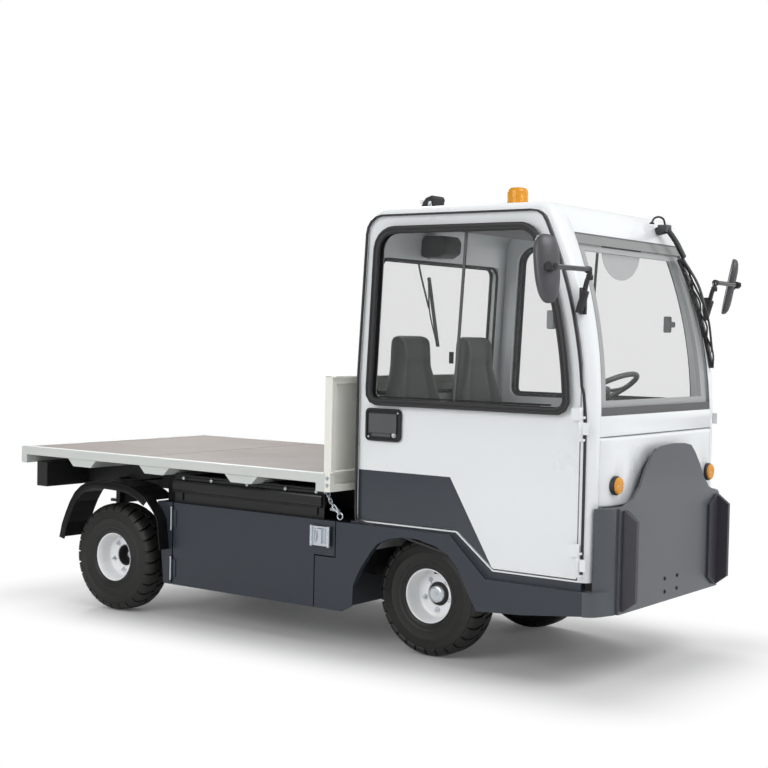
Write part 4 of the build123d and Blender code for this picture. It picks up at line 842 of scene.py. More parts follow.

# %% [markdown]
# Both seats stand in the space that the CAD keeps for them. Vinyl over foam hardly gives.

# %% Both seats
for side, s in SIDES:
    a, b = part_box("seat_" + side)
    middle = (a[1] + b[1]) / 2
    width = b[1] - a[1]
    for part, maker in (
        (
            "cushion",
            lambda bm: seat_cushion(
                bm, (a[0] + 0.060, middle, a[2] + 0.004), width * 0.98, b[0] - a[0] - 0.09, 0.105
            )
        ),
        (
            "back",
            lambda bm: seat_back(
                bm, (a[0] + 0.078, middle - 0.012, a[2] + 0.085), width * 1.0, b[2] - a[2] - 0.090, 0.060,
                0.105
            )
        )
    ):
        bm = bmesh.new()
        maker(bm)
        pad = piece(
            "seat_%s_%s" % (part, side), bm, seat_vinyl, "chassis", smooth=60,
            replaces=["seat_" + side]
        )
        round_off = pad.modifiers.new("rounding", "SUBSURF")
        round_off.levels = round_off.render_levels = 1

# %% [markdown]
# ## Mirrors
# A deep oval head of moulded plastic on a jointed steel arm. The arm leaves a clamp on the
# screen pillar, rises, turns a right angle and reaches out level; a ball clamp takes the
# head. The head is a squashed shell: round at its back, cut flat where the glass sits.

# %% The shell of a mirror head
MIRROR_TALL, MIRROR_WIDE = 0.272, 0.112
# depth towards the driver, share of the full size
SHELL_RINGS = [
    (-0.0005, 0.87), (0.004, 0.97), (0.0, 1.0), (-0.008, 0.995), (-0.018, 0.93),
    (-0.026, 0.74), (-0.031, 0.42), (-0.032, 0.12),
]
GLASS_RINGS = [(0.0018, 0.86), (0.0002, 0.85)]


def mirror_head(bm, place, facing, flat):
    """facing points from the glass to the driver. flat draws the glass alone."""
    facing = Vector(facing).normalized()
    across = Vector((0, 0, 1)).cross(facing).normalized()
    rise = facing.cross(across)
    rows = []
    rings = GLASS_RINGS if flat else SHELL_RINGS
    for depth, size in rings:
        row = []
        for k in range(48):
            t = math.tau * k / 48
            c, q = math.cos(t), math.sin(t)
            x = math.copysign(abs(c) ** 0.72, c) * MIRROR_WIDE / 2 * size * (1 + 0.13 * q)
            z = math.copysign(abs(q) ** 0.78, q) * (MIRROR_TALL / 2 - (1 - size) * 0.03) * (size ** 0.35)
            row.append(bm.verts.new(place + across * x + rise * z + facing * depth))
        rows.append(row)
    loft(bm, rows)


def mirror_places(s):
    """Where one side's clamp, arm and head are, and the way its glass faces."""
    return {
        "root": Vector((1.540, s * 0.601, 1.577)), "knee": Vector((1.573, s * 0.612, 1.697)),
        "tip": Vector((1.562, s * 0.905, 1.697)), "head": Vector((1.527, s * 0.880, 1.690)),
        "facing": (-0.88, -s * 0.44, -0.14 if s < 0 else 0.18),
    }


for side, s in SIDES:
    at = mirror_places(s)
    bm = bmesh.new()
    mirror_head(bm, at["head"], at["facing"], False)
    piece(
        "mirror_%s_head" % side, bm, mirror_shell, "chassis", smooth=50,
        replaces=["mirror_" + side]
    )
    bm = bmesh.new()
    mirror_head(bm, at["head"], at["facing"], True)
    piece("mirror_%s_glass" % side, bm, mirror_silver, "chassis", smooth=0)
print("mirror heads at", [round(v, 3) for v in at["head"]])

# %% [markdown]
# The arm is bent from round bar. A tube along a smooth line gives the bends, and two turned
# collars and a ball clamp show where it can be loosened and turned.

# %% Mirror arms
for side, s in SIDES:
    at = mirror_places(s)
    root, knee, tip = at["root"], at["knee"], at["tip"]
    bm = bmesh.new()
    path = [
        root + Vector((0.012, s * 0.012, 0.035)), root + Vector((0.022, s * 0.012, 0.075)),
        knee - Vector((0, 0, 0.018)), knee + Vector((0.001, s * 0.012, 0)),
        knee + Vector((0.002, s * 0.05, 0.001)), tip
    ]
    tube(bm, smooth_line(path), 0.0105, 14)
    piece("mirror_%s_arm" % side, bm, arm_black, "chassis")
print("each arm reaches", round((tip - knee).length, 3), "m out")

# %% [markdown]
# Rubber sleeves cover the joints. The one at the foot is ribbed like a bellows, and the
# foot's plate is held by two small zinc bolts.

# %% Mirror clamps and bolts
for side, s in SIDES:
    at = mirror_places(s)
    root, knee, tip = at["root"], at["knee"], at["tip"]
    collars = [
        (tip, (-0.1, s, 0), 0.017, 0.036),
        (tip + Vector((-0.020, -s * 0.006, -0.002)), (1, s * 0.45, 0.1), 0.021, 0.026),
        (tip + Vector((0.016, -s * 0.004, 0.002)), (1, s * 0.45, 0.1), 0.0105, 0.014),
        (knee + Vector((0, s * 0.014, 0)), (0, 1, 0), 0.0145, 0.024),
        (knee - Vector((0, 0, 0.030)), (0, 0, 1), 0.0145, 0.022),
    ]
    bm = bmesh.new()
    for place, along, r, h in collars:
        turned(
            bm, [(-h / 2, r * 0.86), (-h / 2 + 0.003, r), (h / 2 - 0.003, r), (h / 2, r * 0.86)], place,
            along, 24
        )
    lean = Vector((0.30, 0, 1)).normalized()
    grip = root + Vector((0.004, s * 0.012, -0.004))
    turned(bm, [(-0.050, 0.013), (-0.048, 0.0160), (0.040, 0.0160), (0.044, 0.013)], grip, lean, 20)
    for k in range(7):
        ring(
            bm, [(-0.036 + 0.011 * k, 0.0160), (-0.033 + 0.011 * k, 0.0176), (-0.030 + 0.011 * k, 0.0160)],
            grip, lean, 20
        )
    block(
        bm, root + Vector((-0.016, -0.008 if s > 0 else -0.004, -0.058)),
        root + Vector((0.014, 0.004 if s > 0 else 0.008, 0.050))
    )
    piece("mirror_%s_clamps" % side, bm, seal_rubber, "chassis")
    bm = bmesh.new()
    for dx, dz in ((-0.009, -0.046), (0.005, 0.036)):
        hex_bolt(bm, root + Vector((dx, s * 0.006, dz)), (0, s, 0), 0.012, 0.007)
    piece("mirror_%s_bolts" % side, bm, zinc, "chassis")
print("clamps:", len(collars), "collars a side")

# %% [markdown]
# ## Window rubbers
# Each pane sits in a wide black rubber with a locking strip down its middle. The pane's own
# outline is read from the frame, spaced evenly, and a section is swept round it, so the
# rubber always fits the pane.

# %% Rubbers round the door windows
def outline_of(node, across, up, count=120):
    """The pane's outer edge as evenly spaced points in two axes."""
    pts = [(v.co[across], v.co[up]) for v in bpy.data.objects[node].data.vertices]
    hull = [Vector(pts[i]) for i in convex_hull_2d([Vector(p) for p in pts])]
    lengths = [(hull[(i + 1) % len(hull)] - hull[i]).length for i in range(len(hull))]
    step, out, i, gone = sum(lengths) / count, [], 0, 0.0
    for k in range(count):
        while gone + lengths[i] < k * step:
            gone += lengths[i]
            i += 1
        t = (k * step - gone) / lengths[i]
        out.append(hull[i].lerp(hull[(i + 1) % len(hull)], t))
    return out


def strip_section(half, high, low):
    """A moulding that stands proud, with a groove for the locking strip."""
    right = [
        (half * 0.12, high * 0.72), (half * 0.22, high), (half * 0.72, high * 0.92), (half, high * 0.35),
        (half, low)
    ]
    return [(-x, y) for x, y in reversed(right)] + right


for side, s in SIDES:
    a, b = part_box("door_" + side)
    face = max(abs(a[1]), abs(b[1]))
    line = [Vector((p[0], s * face, p[1])) for p in outline_of("door_glass_" + side, 0, 2)]
    bm = bmesh.new()
    extruded_line(bm, line, strip_section(0.0165, 0.009, -0.004), normal=(0, s, 0), closed=True)
    inner = [Vector((p[0], s * (face - 0.034), p[2])) for p in line]
    extruded_line(bm, inner, strip_section(0.0150, 0.007, -0.004), normal=(0, -s, 0), closed=True)
    core = [Vector((p[0], s * (face - 0.017), p[2])) for p in line]
    section = [(-0.004, -0.018), (-0.004, 0.018), (0.004, 0.018), (0.004, -0.018)]
    extruded_line(bm, core, section, normal=(0, s, 0), closed=True)
    piece("door_window_rubber_" + side, bm, seal_rubber, "cab_door_" + side, smooth=40)
print("door rubber", [round(v, 3) for v in line[0]])

# %% [markdown]
# The rear window leans, so its rubber needs the pane's reach at each height. That is read
# from the pane's outer edge: the furthest points, joined by straight lines.


# %% Rubber round the rear window
def edge_of(node, level, sign):
    """How far a pane reaches along axis level, against height, read from its own outer edge."""
    pts = [(v.co[level], v.co.z) for v in bpy.data.objects[node].data.vertices]
    hull = [Vector(pts[i]) for i in convex_hull_2d([Vector(p) for p in pts])]
    middle = sum(p.x for p in hull) / len(hull)
    reach = {}
    for p in hull:
        if (p.x - middle) * sign > 0 or level == 0:
            z = round(p.y, 4)
            reach[z] = max(reach.get(z, -9), p.x * sign)
    best = []
    for z in sorted(reach):
        while len(best) > 1:
            (z0, r0), (z1, r1) = best[-2], best[-1]
            if (r1 - r0) * (z - z0) < (reach[z] - r0) * (z1 - z0):
                best.pop()
            else:
                break
        best.append((z, reach[z]))

    def at(z):
        z = min(max(z, best[0][0]), best[-1][0])
        for (z0, r0), (z1, r1) in zip(best, best[1:]):
            if z0 <= z <= z1:
                return sign * (r0 + (r1 - r0) * (z - z0) / (z1 - z0))
        return sign * best[-1][1]
    return at


back_x = edge_of("rear_window", 0, -1)
a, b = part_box("rear_window")
bm = bmesh.new()
half = b[1] - 0.004
rim = [Vector((0, y, z)) for y, z in round_corners(-half, half, a[2] + 0.004, b[2] - 0.004, 0.05)]
for p in rim:
    p.x = back_x(p.z) - 0.003
extruded_line(bm, rim, strip_section(0.009, 0.006, -0.004), normal=(-1, 0, 0), closed=True)
extruded_line(
    bm, [p + Vector((0.036, 0, 0)) for p in rim], strip_section(0.007, 0.005, -0.004), normal=(1, 0, 0),
    closed=True
)
piece("rear_window_rubber", bm, seal_rubber, "chassis", smooth=40)
print("rear window rubber of", len(rim), "points, top at", round(max(p.z for p in rim), 3))

# %% [markdown]
# ## Screen edging
# The windscreen is bonded. A dark band is fired onto its edges, its top is tinted, and a
# grey frame shows through it from inside. All of these follow the leaning, narrowing pane,
# so one helper lays a strip between two heights and asks the pane where it is.

# %% A strip on the windscreen
screen_at = edge_of("windscreen", 0, 1)
screen_half = edge_of("windscreen", 1, 1)
a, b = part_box("windscreen")
screen_low, screen_high = a[2], b[2]


def screen_patch(bm, z0, z1, cut0, cut1, proud=0.0015, thick=0.002, rows=4):
    """A strip on the glass between two heights, its ends held in from the glass's edge."""
    layers = []
    for depth in (proud, proud - thick):
        grid = []
        for j in range(rows + 1):
            z = z0 + (z1 - z0) * j / rows
            y0, y1 = cut0(z), cut1(z)
            grid.append([bm.verts.new((screen_at(z) + depth, y0 + (y1 - y0) * i / 8, z)) for i in range(9)])
        layers.append(grid)
    for grid in layers:
        for j in range(rows):
            for i in range(8):
                bm.faces.new((grid[j][i], grid[j][i + 1], grid[j + 1][i + 1], grid[j + 1][i]))
    top, low = layers
    rim = [(0, i) for i in range(9)] + [(j, 8) for j in range(1, rows + 1)]
    rim += [(rows, i) for i in range(7, -1, -1)] + [(j, 0) for j in range(rows - 1, 0, -1)]
    for (j, i), (m, n) in zip(rim, rim[1:] + rim[:1]):
        bm.faces.new((top[j][i], top[m][n], low[m][n], low[j][i]))


def left_edge(cut_back):
    """The left edge of the screen against height, held in by some metres."""
    return lambda z: screen_half(z) - cut_back


def right_edge(cut_back):
    return lambda z: -screen_half(z) + cut_back


print("screen from", round(screen_low, 3), "to", round(screen_high, 3))

# %% [markdown]
# The bands are a hair proud of the glass. In the glass's own shader they would need a mask
# for every edge; as thin strips their edges stay crisp.

# %% Tint, bands and inner frame
bm = bmesh.new()
screen_patch(bm, screen_high - 0.046, screen_high - 0.002, right_edge(0), left_edge(0))
piece("windscreen_tint", bm, screen_tint, "chassis", smooth=40)
bm = bmesh.new()
screen_patch(bm, screen_low + 0.002, screen_low + 0.034, right_edge(0), left_edge(0))
screen_patch(bm, screen_high - 0.006, screen_high - 0.001, right_edge(0), left_edge(0), proud=0.0018)
for edge_at in (right_edge, left_edge):
    screen_patch(bm, screen_low + 0.002, screen_high - 0.002, edge_at(0.007), edge_at(-0.001), rows=24)
piece("windscreen_bands", bm, band_dark, "chassis", smooth=40)
bm = bmesh.new()
inside = {"proud": -0.010, "thick": 0.020}
for edge_at in (right_edge, left_edge):
    screen_patch(bm, screen_low + 0.03, screen_high - 0.03, edge_at(0.062), edge_at(0.004), rows=24, **inside)
for z0, z1 in ((screen_low + 0.004, screen_low + 0.060), (screen_high - 0.075, screen_high - 0.006)):
    screen_patch(bm, z0, z1, right_edge(0.06), left_edge(0.06), **inside)
piece("windscreen_inner_frame", bm, frame_grey, "chassis", smooth=40)
print("inner frame is", inside["thick"], "m deep")

# %% [markdown]
# ## Sliding panes
# The door window is two panes in a channel. The front one slides back past the other, so a
# slim upright bar, leaning with the pillar, shows where they overlap, with a bottom runner
# and a small finger pull.

# %% Sliding window bars and catches
for side, s in SIDES:
    a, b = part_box("door_glass_" + side)
    y = s * (max(abs(a[1]), abs(b[1])) + 0.0015)
    low, high = a[2] + 0.018, b[2] - 0.016
    foot, head = 0.926, 0.969
    body = "cab_door_" + side
    bm = bmesh.new()
    pts = [(foot - 0.0065, low), (foot + 0.0065, low), (head + 0.0065, high), (head - 0.0065, high)]
    slab(bm, pts, 1, y - 0.0035, y + 0.0035)
    piece("sliding_pane_bars_" + side, bm, band_dark, body, edge=0.001)
    bm = bmesh.new()
    slab(
        bm, [(a[0] + 0.03, low), (b[0] - 0.09, low), (b[0] - 0.09, low + 0.007), (a[0] + 0.03, low + 0.007)],
        1, y - 0.003, y + 0.003
    )
    block(bm, (foot - 0.030, y - 0.004, low + 0.16), (foot - 0.010, y + 0.004, low + 0.21))
    piece("sliding_pane_runner_" + side, bm, moulded_black, body, edge=0.0015)
print("sliding panes barred on", len(SIDES), "doors")

# %% [markdown]
# ## Weatherstrips and gap shade
# A soft black strip fills the gap between each door and the side of the cab, a little below
# the paint. It is partly a real seal and partly painted shade: its black stands in for the
# shade down in the gap, and it is why the door's edge reads as one dark, even line.

# %% Strips in the door gaps
STRIP = [
    (-0.0042, -0.010), (-0.0042, 0.000), (-0.002, 0.0018), (0.002, 0.0018), (0.0042, 0.000), (0.0042, -0.010),
]
for side, s in SIDES:
    a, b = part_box("door_" + side)
    face = s * max(abs(a[1]), abs(b[1]))
    rim = outline_of("door_" + side, 0, 2, 160)
    middle = Vector(((a[0] + b[0]) / 2, (a[2] + b[2]) / 2))
    bm = bmesh.new()
    line = []
    for k, p in enumerate(rim):
        along = (rim[(k + 1) % len(rim)] - rim[k - 1]).normalized()
        away = Vector((along.y, -along.x))
        if away.dot(p - middle) < 0:
            away = -away
        sunk = 0.019 if p.x > b[0] - 0.012 else 0.0065
        line.append(Vector((p.x + away.x * 0.0030, face - s * sunk, p.y + away.y * 0.0030)))
    upper = [p for p in line if p.z > a[2] + 0.02]
    first = max(range(len(upper)), key=lambda k: (upper[k] - upper[k - 1]).length)
    upper = upper[first:] + upper[:first]
    extruded_line(bm, upper, STRIP, normal=(0, s, 0))
    # the strip is a real seal, and its black is also painted shade for the door gap
    piece("door_weatherstrip_" + side, bm, seal_rubber, "chassis", smooth=45)

print("door strips of", len(upper), "points")

# %% [markdown]
# The deck is two boards, and a rubber strip seals their joint. The joint's place is read
# from the boards themselves, between the two inner ends.

# %% The deck's joint
a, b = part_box("deck_boards")
joint = sorted(round(v.co.x, 4) for v in bpy.data.objects["deck_boards"].data.vertices)
inner_ends = [x for x in joint if a[0] + 0.1 < x < b[0] - 0.1]
joint_x = sum(inner_ends) / len(inner_ends)
bm = bmesh.new()
block(bm, (joint_x - 0.0045, a[1] + 0.002, b[2] - 0.004), (joint_x + 0.0045, b[1] - 0.002, b[2] + 0.0006))
piece("deck_joint_seal", bm, seal_rubber, "chassis")
print("deck joint at", round(joint_x, 3))

# %% [markdown]
# ## Door furniture
# Weld-on hinges are a pair of knuckles on a pin, with a flat leaf to each side. One knuckle
# rides on the cab and the other on the door, so that the joint can be seen to turn.

# %% Hinges
HINGE_HEIGHTS = (0.540, 1.090)
for side, s in SIDES:
    a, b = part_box("door_" + side)
    x, y = b[0] - 0.008, s * (max(abs(a[1]), abs(b[1])) - 0.0030)
    on_door, on_cab = bmesh.new(), bmesh.new()
    for z in HINGE_HEIGHTS:
        for bm, lo, hi, way in ((on_cab, -0.056, -0.0005, 1), (on_door, 0.0005, 0.056, -1)):
            turned(
                bm, [(lo, 0.0066), (lo + 0.002, 0.0078), (hi - 0.002, 0.0078), (hi, 0.0066)], (x, y, z),
                (0, 0, 1), 24
            )
            block(
                bm, (x + way * (0.0150 if way > 0 else 0.003), y + s * 0.0028, z + lo + 0.003),
                (x + way * 0.040, y + s * 0.0072, z + hi - 0.003)
            )
    piece("door_hinge_leaves_" + side, on_door, cab_white, "cab_door_" + side, edge=0.001)
    piece("cab_hinge_leaves_" + side, on_cab, cab_white, "chassis", edge=0.001)

print("hinges", round(HINGE_HEIGHTS[1] - HINGE_HEIGHTS[0], 3), "m apart")

# %% [markdown]
# The latch is a flush paddle in a black tray. The tray is cut to the CAD handle's own box,
# so it fits: a slab with rounded corners, and a lip swept round them. The paddle gets a
# wide edge radius, because fingers have worn it round.


# %% Latch tray and paddle
def handle_box(side, s):
    """The handle's outline, and its outer and inner levels."""
    a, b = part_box("door_handle_" + side)
    return a[0], b[0], a[2], b[2], s * max(abs(a[1]), abs(b[1])), s * min(abs(a[1]), abs(b[1]))


LIP = [(-0.006, -0.004), (-0.006, 0.002), (-0.003, 0.005), (0.003, 0.005), (0.006, 0.002), (0.006, -0.004)]
for side, s in SIDES:
    x0, x1, z0, z1, out, deep = handle_box(side, s)
    corners = round_corners(x0, x1, z0, z1, 0.016, steps=5)
    bm = bmesh.new()
    slab(bm, corners, 1, deep, out - s * 0.006)
    extruded_line(
        bm, [Vector((x, out - s * 0.004, z)) for x, z in corners], LIP, normal=(0, s, 0), closed=True
    )
    piece(
        "door_latch_tray_" + side, bm, moulded_black, "cab_door_" + side, smooth=40,
        replaces=["door_handle_" + side]
    )
    bm = bmesh.new()
    block(bm, (x0 + 0.014, out - s * 0.007, z0 + 0.030), (x1 - 0.016, out + s * 0.003, z1 - 0.016))
    block(bm, (x0 + 0.030, out - s * 0.007, z0 + 0.014), (x1 - 0.050, out - s * 0.001, z0 + 0.030))
    piece("door_latch_paddle_" + side, bm, band_dark, "cab_door_" + side, edge=0.005)
print("latch tray", round(x1 - x0, 3), "by", round(z1 - z0, 3))

# %% [markdown]
# The key barrel and the tray's two screws are small turned parts. Inside the door a grey
# case covers the latch, with a lever above it under the window.

# %% Key barrel, screws and inner handle
INNER_FACE = 0.566          # the door's inner skin
for side, s in SIDES:
    x0, x1, z0, z1, out, _ = handle_box(side, s)
    level = out - s * 0.001
    bm = bmesh.new()
    turned(
        bm, [(-0.006, 0.0115), (0.001, 0.0115), (0.003, 0.0095), (0.002, 0.0040)],
        (x1 - 0.030, level, z0 + 0.024), (0, s, 0), 28
    )
    for x, z in ((x0 + 0.012, z0 + 0.012), (x1 - 0.012, z1 - 0.012)):
        turned(bm, [(-0.006, 0.0040), (0.0005, 0.0040), (0.0015, 0.0025)], (x, level, z), (0, s, 0), 12)
    piece("door_latch_key_" + side, bm, zinc, "cab_door_" + side)
    bm = bmesh.new()
    inner = s * INNER_FACE
    block(bm, (1.352, inner, 1.459), (1.386, inner - s * 0.026, 1.536))
    block(bm, (1.380, inner - s * 0.006, 1.484), (1.408, inner - s * 0.024, 1.511))
    block(bm, (x0 - 0.005, inner + s * 0.004, z0 + 0.01), (x1 + 0.02, inner - s * 0.020, z1))
    piece("door_inner_handle_" + side, bm, lining_grey, "cab_door_" + side, edge=0.006)
print("inner case sits", INNER_FACE, "m from the middle")

# %% [markdown]
# ## Wipers
# One long wiper hangs from the roof on the far side of the screen and parks down the far
# pillar; a washer hose loops out of the roof to it. A smaller one on the rear window hangs
# from a motor case under the roof.

# %% Front wiper's arm
bm = bmesh.new()
pivot = Vector((1.450, 0.338, 1.931))
turned(bm, [(-0.045, 0.020), (-0.010, 0.022), (0.006, 0.020), (0.012, 0.013)], pivot, (1, 0.05, 0.25), 28)
block(bm, pivot + Vector((-0.030, -0.026, -0.014)), pivot + Vector((0.014, 0.026, 0.018)))
joint = Vector((1.490, 0.430, 1.806))
tail = Vector((1.560, 0.545, 1.560))
middle = pivot.lerp(joint, 0.45)
line = smooth_line(
    [pivot + Vector((0.006, 0, 0)), middle + Vector((0.014, 0, 0)), joint + Vector((0.010, 0, 0))], 6
)
half = [(0.008, 0.009), (0.0135, 0.005), (0.0135, -0.006)]
extruded_line(bm, line, [(-x, y) for x, y in reversed(half)] + half, normal=(1, 0, 0))
line = smooth_line([joint, joint.lerp(tail, 0.5) + Vector((0.022, 0, 0)), tail + Vector((0.006, 0, 0))], 6)
extruded_line(
    bm, line, [(-0.007, -0.003), (-0.007, 0.003), (0.007, 0.003), (0.007, -0.003)], normal=(1, 0, 0)
)
print("wiper joint at", [round(v, 3) for v in joint])

# %% [markdown]
# The blade is one rubber section with a thin lip, pressed on the glass by steel bows: four
# small ones, and a long one over them. Its line is read from the glass, so it lies flat.

# %% Front wiper's blade and bows
top, foot = Vector((1.480, 0.447, 1.800)), Vector((1.592, 0.549, 1.300))
blade = []
for k in range(15):
    p = top.lerp(foot, k / 14)
    blade.append(Vector((screen_at(p.z) + 0.014, p.y, p.z)))
half = [(0.0075, 0.008), (0.0075, 0.002), (0.002, 0.000), (0.004, -0.012)]
extruded_line(bm, blade, [(-x, y) for x, y in reversed(half)] + half, normal=(1, 0, 0))
for a, b in ((0, 4), (4, 7), (7, 10), (10, 14)):
    middle = (blade[a] + blade[b]) / 2
    bow = [blade[a] + Vector((0.007, 0, 0)), middle + Vector((0.022, 0, 0)), blade[b] + Vector((0.007, 0, 0))]
    tube(bm, smooth_line(bow, 5), 0.0045, 8)
bow = [blade[k] + Vector((off, 0, 0)) for k, off in ((2, 0.018), (7, 0.038), (12, 0.018))]
tube(bm, smooth_line(bow, 8), 0.0055, 8)
piece("front_wiper", bm, arm_black, "chassis")
print("blade", round((foot - top).length, 3), "m long")

# %% [markdown]
# Washer water comes through a short black hose that bows from a grommet in the roof to the
# pivot. It is fixed at both ends, so it is a part and not a free cord.

# %% Washer hose
bm = bmesh.new()
HOSE = [
    (0.000, -0.010, 0.012), (0.000, -0.030, 0.042), (-0.006, -0.066, 0.050), (-0.010, -0.106, 0.040),
    (-0.010, -0.128, 0.019)
]
hose = [pivot + Vector(p) for p in HOSE]
tube(bm, smooth_line(hose, 8), 0.0048, 8)
turned(bm, [(0, 0.011), (0.006, 0.011), (0.010, 0.006)], hose[-1] + Vector((0, 0, -0.006)), (0.1, 0, 1), 16)
piece("washer_hose", bm, moulded_black, "chassis")
print("hose rises", round(max(p.z for p in hose) - pivot.z, 3), "m over the pivot")

# %% [markdown]
# The rear wiper's motor is inside, in a moulded case under the roof. Its shaft comes through
# the wall to a short arm, and the blade lies across the middle of the window.

# %% Rear wiper and its motor
bm = bmesh.new()
outline = [
    (0.452, 1.800), (0.470, 1.786), (0.560, 1.784), (0.598, 1.806), (0.602, 1.860), (0.585, 1.886),
    (0.475, 1.886), (0.448, 1.860)
]
slab(bm, outline, 1, -0.195, -0.060)
piece("rear_wiper_motor", bm, moulded_black, "chassis", edge=0.010)


def rear_point(y, z, off):
    return Vector((back_x(z) - off, y, z))


bm = bmesh.new()
hub = rear_point(-0.130, 1.790, 0.012)
turned(
    bm, [(-0.050, 0.008), (0.004, 0.008), (0.006, 0.015), (0.018, 0.015), (0.022, 0.009)], hub, (-1, 0, 0), 24
)
arm = [hub + Vector((-0.014, 0, 0)), rear_point(-0.085, 1.70, 0.030), rear_point(-0.010, 1.555, 0.026)]
tube(bm, smooth_line(arm, 6), 0.0048, 8)
blade = [rear_point(-0.052 + 0.115 * k / 10, 1.700 - 0.330 * k / 10, 0.010) for k in range(11)]
half = [(0.005, 0.006), (0.005, 0.002), (0.0015, 0.000), (0.0030, -0.010)]
extruded_line(bm, blade, [(-x, y) for x, y in reversed(half)] + half, normal=(-1, 0, 0))
bow = [blade[k] - Vector((off, 0, 0)) for k, off in ((1, 0.006), (5, 0.020), (9, 0.006))]
tube(bm, smooth_line(bow, 6), 0.0035, 8)
piece("rear_wiper", bm, band_dark, "chassis")
print("wipers hang at", [round(v, 3) for v in pivot], "and", [round(v, 3) for v in hub])

# %% [markdown]
# ## Lamps
# Direction lamps are domed amber lenses ribbed like a cut-glass stopper, each in a dark
# rubber bezel. Bump alone wouldn't show on the rim, so the ribs are cut into the lens:
# every second pair of points round it is pressed in a little.


# %% Direction lamps
def ribbed_dome(bm, centre, axis, profile, ribs, depth):
    """profile: (along, radius). The skin is pressed in and out round the axis."""
    axis, ways = spokes(axis, ribs * 4)
    rows = []
    for along, radius in profile:
        row = []
        for k, way in enumerate(ways):
            r = radius - (depth if k % 4 in (2, 3) else 0) * min(1, radius / profile[0][1])
            row.append(bm.verts.new(Vector(centre) + axis * along + way * r))
        rows.append(row)
    loft(bm, rows)


a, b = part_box("indicators")
lamp_z, lamp_x, lamp_r = (a[2] + b[2]) / 2, b[0], (b[2] - a[2]) / 2
lamp_y = b[1] - lamp_r
# distance along the axis, share of the lamp's radius
BEZEL = [(-0.034, 0.80), (-0.034, 1.02), (-0.012, 1.04), (-0.008, 0.98), (-0.008, 0.80)]
LENS = [(-0.020, 0.93), (-0.004, 0.93), (0.000, 0.88), (0.003, 0.62), (0.0045, 0.22)]
bezels, lenses, screws = bmesh.new(), bmesh.new(), bmesh.new()
for side, s in SIDES:
    spot = Vector((lamp_x, s * lamp_y, lamp_z))
    ring(bezels, [(x, lamp_r * share) for x, share in BEZEL], spot, (1, 0, 0), 40)
    ribbed_dome(lenses, spot, (1, 0, 0), [(x, lamp_r * share) for x, share in LENS], 16, 0.0012)
    for t in (-0.55, 0.55):
        turned(screws, [(0.001, 0.0028), (0.0042, 0.0028)], spot + Vector((0, t * lamp_r, 0)), (1, 0, 0), 10)
piece("direction_lamp_bezels", bezels, seal_rubber, "chassis")
piece("direction_lamp_lenses", lenses, amber, "chassis", smooth=25, replaces=["indicators"])
piece("direction_lamp_screws", screws, zinc, "chassis", smooth=30)
print("direction lamps", round(2 * lamp_r, 3), "m across")

# %% [markdown]
# The beacon is an amber dome on a low black foot. Its wall has level ribs, like a stack of
# rings, so it is one turned profile with a step for each rib.

# %% Beacon
a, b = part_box("beacon")
spot = Vector(((a[0] + b[0]) / 2, (a[1] + b[1]) / 2, a[2]))
tall, r = b[2] - a[2], (b[0] - a[0]) / 2
bm = bmesh.new()
turned(bm, [(0, r), (0.006, r), (0.010, r * 0.96), (0.020, r * 0.93), (0.022, r * 0.84)], spot, (0, 0, 1), 56)
piece("beacon_foot", bm, moulded_black, "chassis", replaces=["beacon"])
bm = bmesh.new()
dome = [(0.020, r * 0.87), (0.030, r * 0.885)]
for k in range(7):
    z = 0.034 + 0.0085 * k
    dome += [(z, r * 0.885), (z + 0.0035, r * 0.868), (z + 0.0050, r * 0.868)]
dome += [
    (tall - 0.022, r * 0.875), (tall - 0.013, r * 0.840), (tall - 0.006, r * 0.74), (tall - 0.002, r * 0.55),
    (tall, r * 0.25)
]
turned(bm, dome, spot, (0, 0, 1), 56)
piece("beacon_dome", bm, amber, "chassis", smooth=28, replaces=["beacon"])
print("beacon", round(tall, 3), "m tall, with", len(dome), "points in its profile")

# %% [markdown]
# The work lamp is a small flood on a fork at the back of the roof, tipped down over the
# deck. Its case is a bent outline given a width, and the glass is a plate set square to the
# way the lamp looks.

# %% Work lamp
a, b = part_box("work_lamp")
mid_y, z0 = (a[1] + b[1]) / 2, a[2]
bm = bmesh.new()
hood = [
    (a[0], z0 + 0.030), (a[0] + 0.006, z0 + 0.050), (a[0] + 0.022, z0 + 0.072), (b[0] - 0.006, b[2]),
    (b[0] + 0.004, z0 + 0.066), (b[0] - 0.006, z0 + 0.040), (b[0] - 0.022, z0 + 0.024),
]
slab(bm, hood, 1, a[1], b[1])
piece("work_lamp_case", bm, moulded_black, "chassis", edge=0.006, replaces=["work_lamp"])
bm = bmesh.new()
for y in (a[1] - 0.004, b[1] + 0.001):
    slab(
        bm, [(b[0] - 0.034, z0), (b[0] + 0.004, z0), (b[0] - 0.008, z0 + 0.056), (b[0] - 0.020, z0 + 0.056)],
        1, y, y + 0.003
    )
    turned(
        bm, [(0, 0.008), (0.006, 0.008), (0.008, 0.005)],
        (b[0] - 0.014, y + (0.003 if y > mid_y else 0), z0 + 0.046), (0, 1 if y > mid_y else -1, 0), 12
    )
block(bm, (b[0] - 0.034, a[1] - 0.004, z0), (b[0] + 0.004, b[1] + 0.004, z0 + 0.004))
piece("work_lamp_fork", bm, zinc, "chassis", edge=0.0008)
bm = bmesh.new()
facing = Vector((-0.92, 0, -0.39)).normalized()
face = Vector((a[0] - 0.001, mid_y, z0 + 0.038))
up = Vector((-facing.z, 0, facing.x)) * -1
outline = [
    face + Vector((0, y, 0)) + up * h for y,
    h in ((-0.044, -0.004), (0.044, -0.004), (0.044, 0.026), (-0.044, 0.026))
]
loft(bm, [[bm.verts.new(p + facing * depth) for p in outline] for depth in (0.004, -0.006)])
piece("work_lamp_glass", bm, clear_lens, "chassis", edge=0.002)
print("work lamp looks", [round(v, 2) for v in facing])

# %% [markdown]
# Each rear lamp is a row of three lenses in one black holder: the outer one amber, the
# other two red. They stand proud of the holder by a few millimetres.

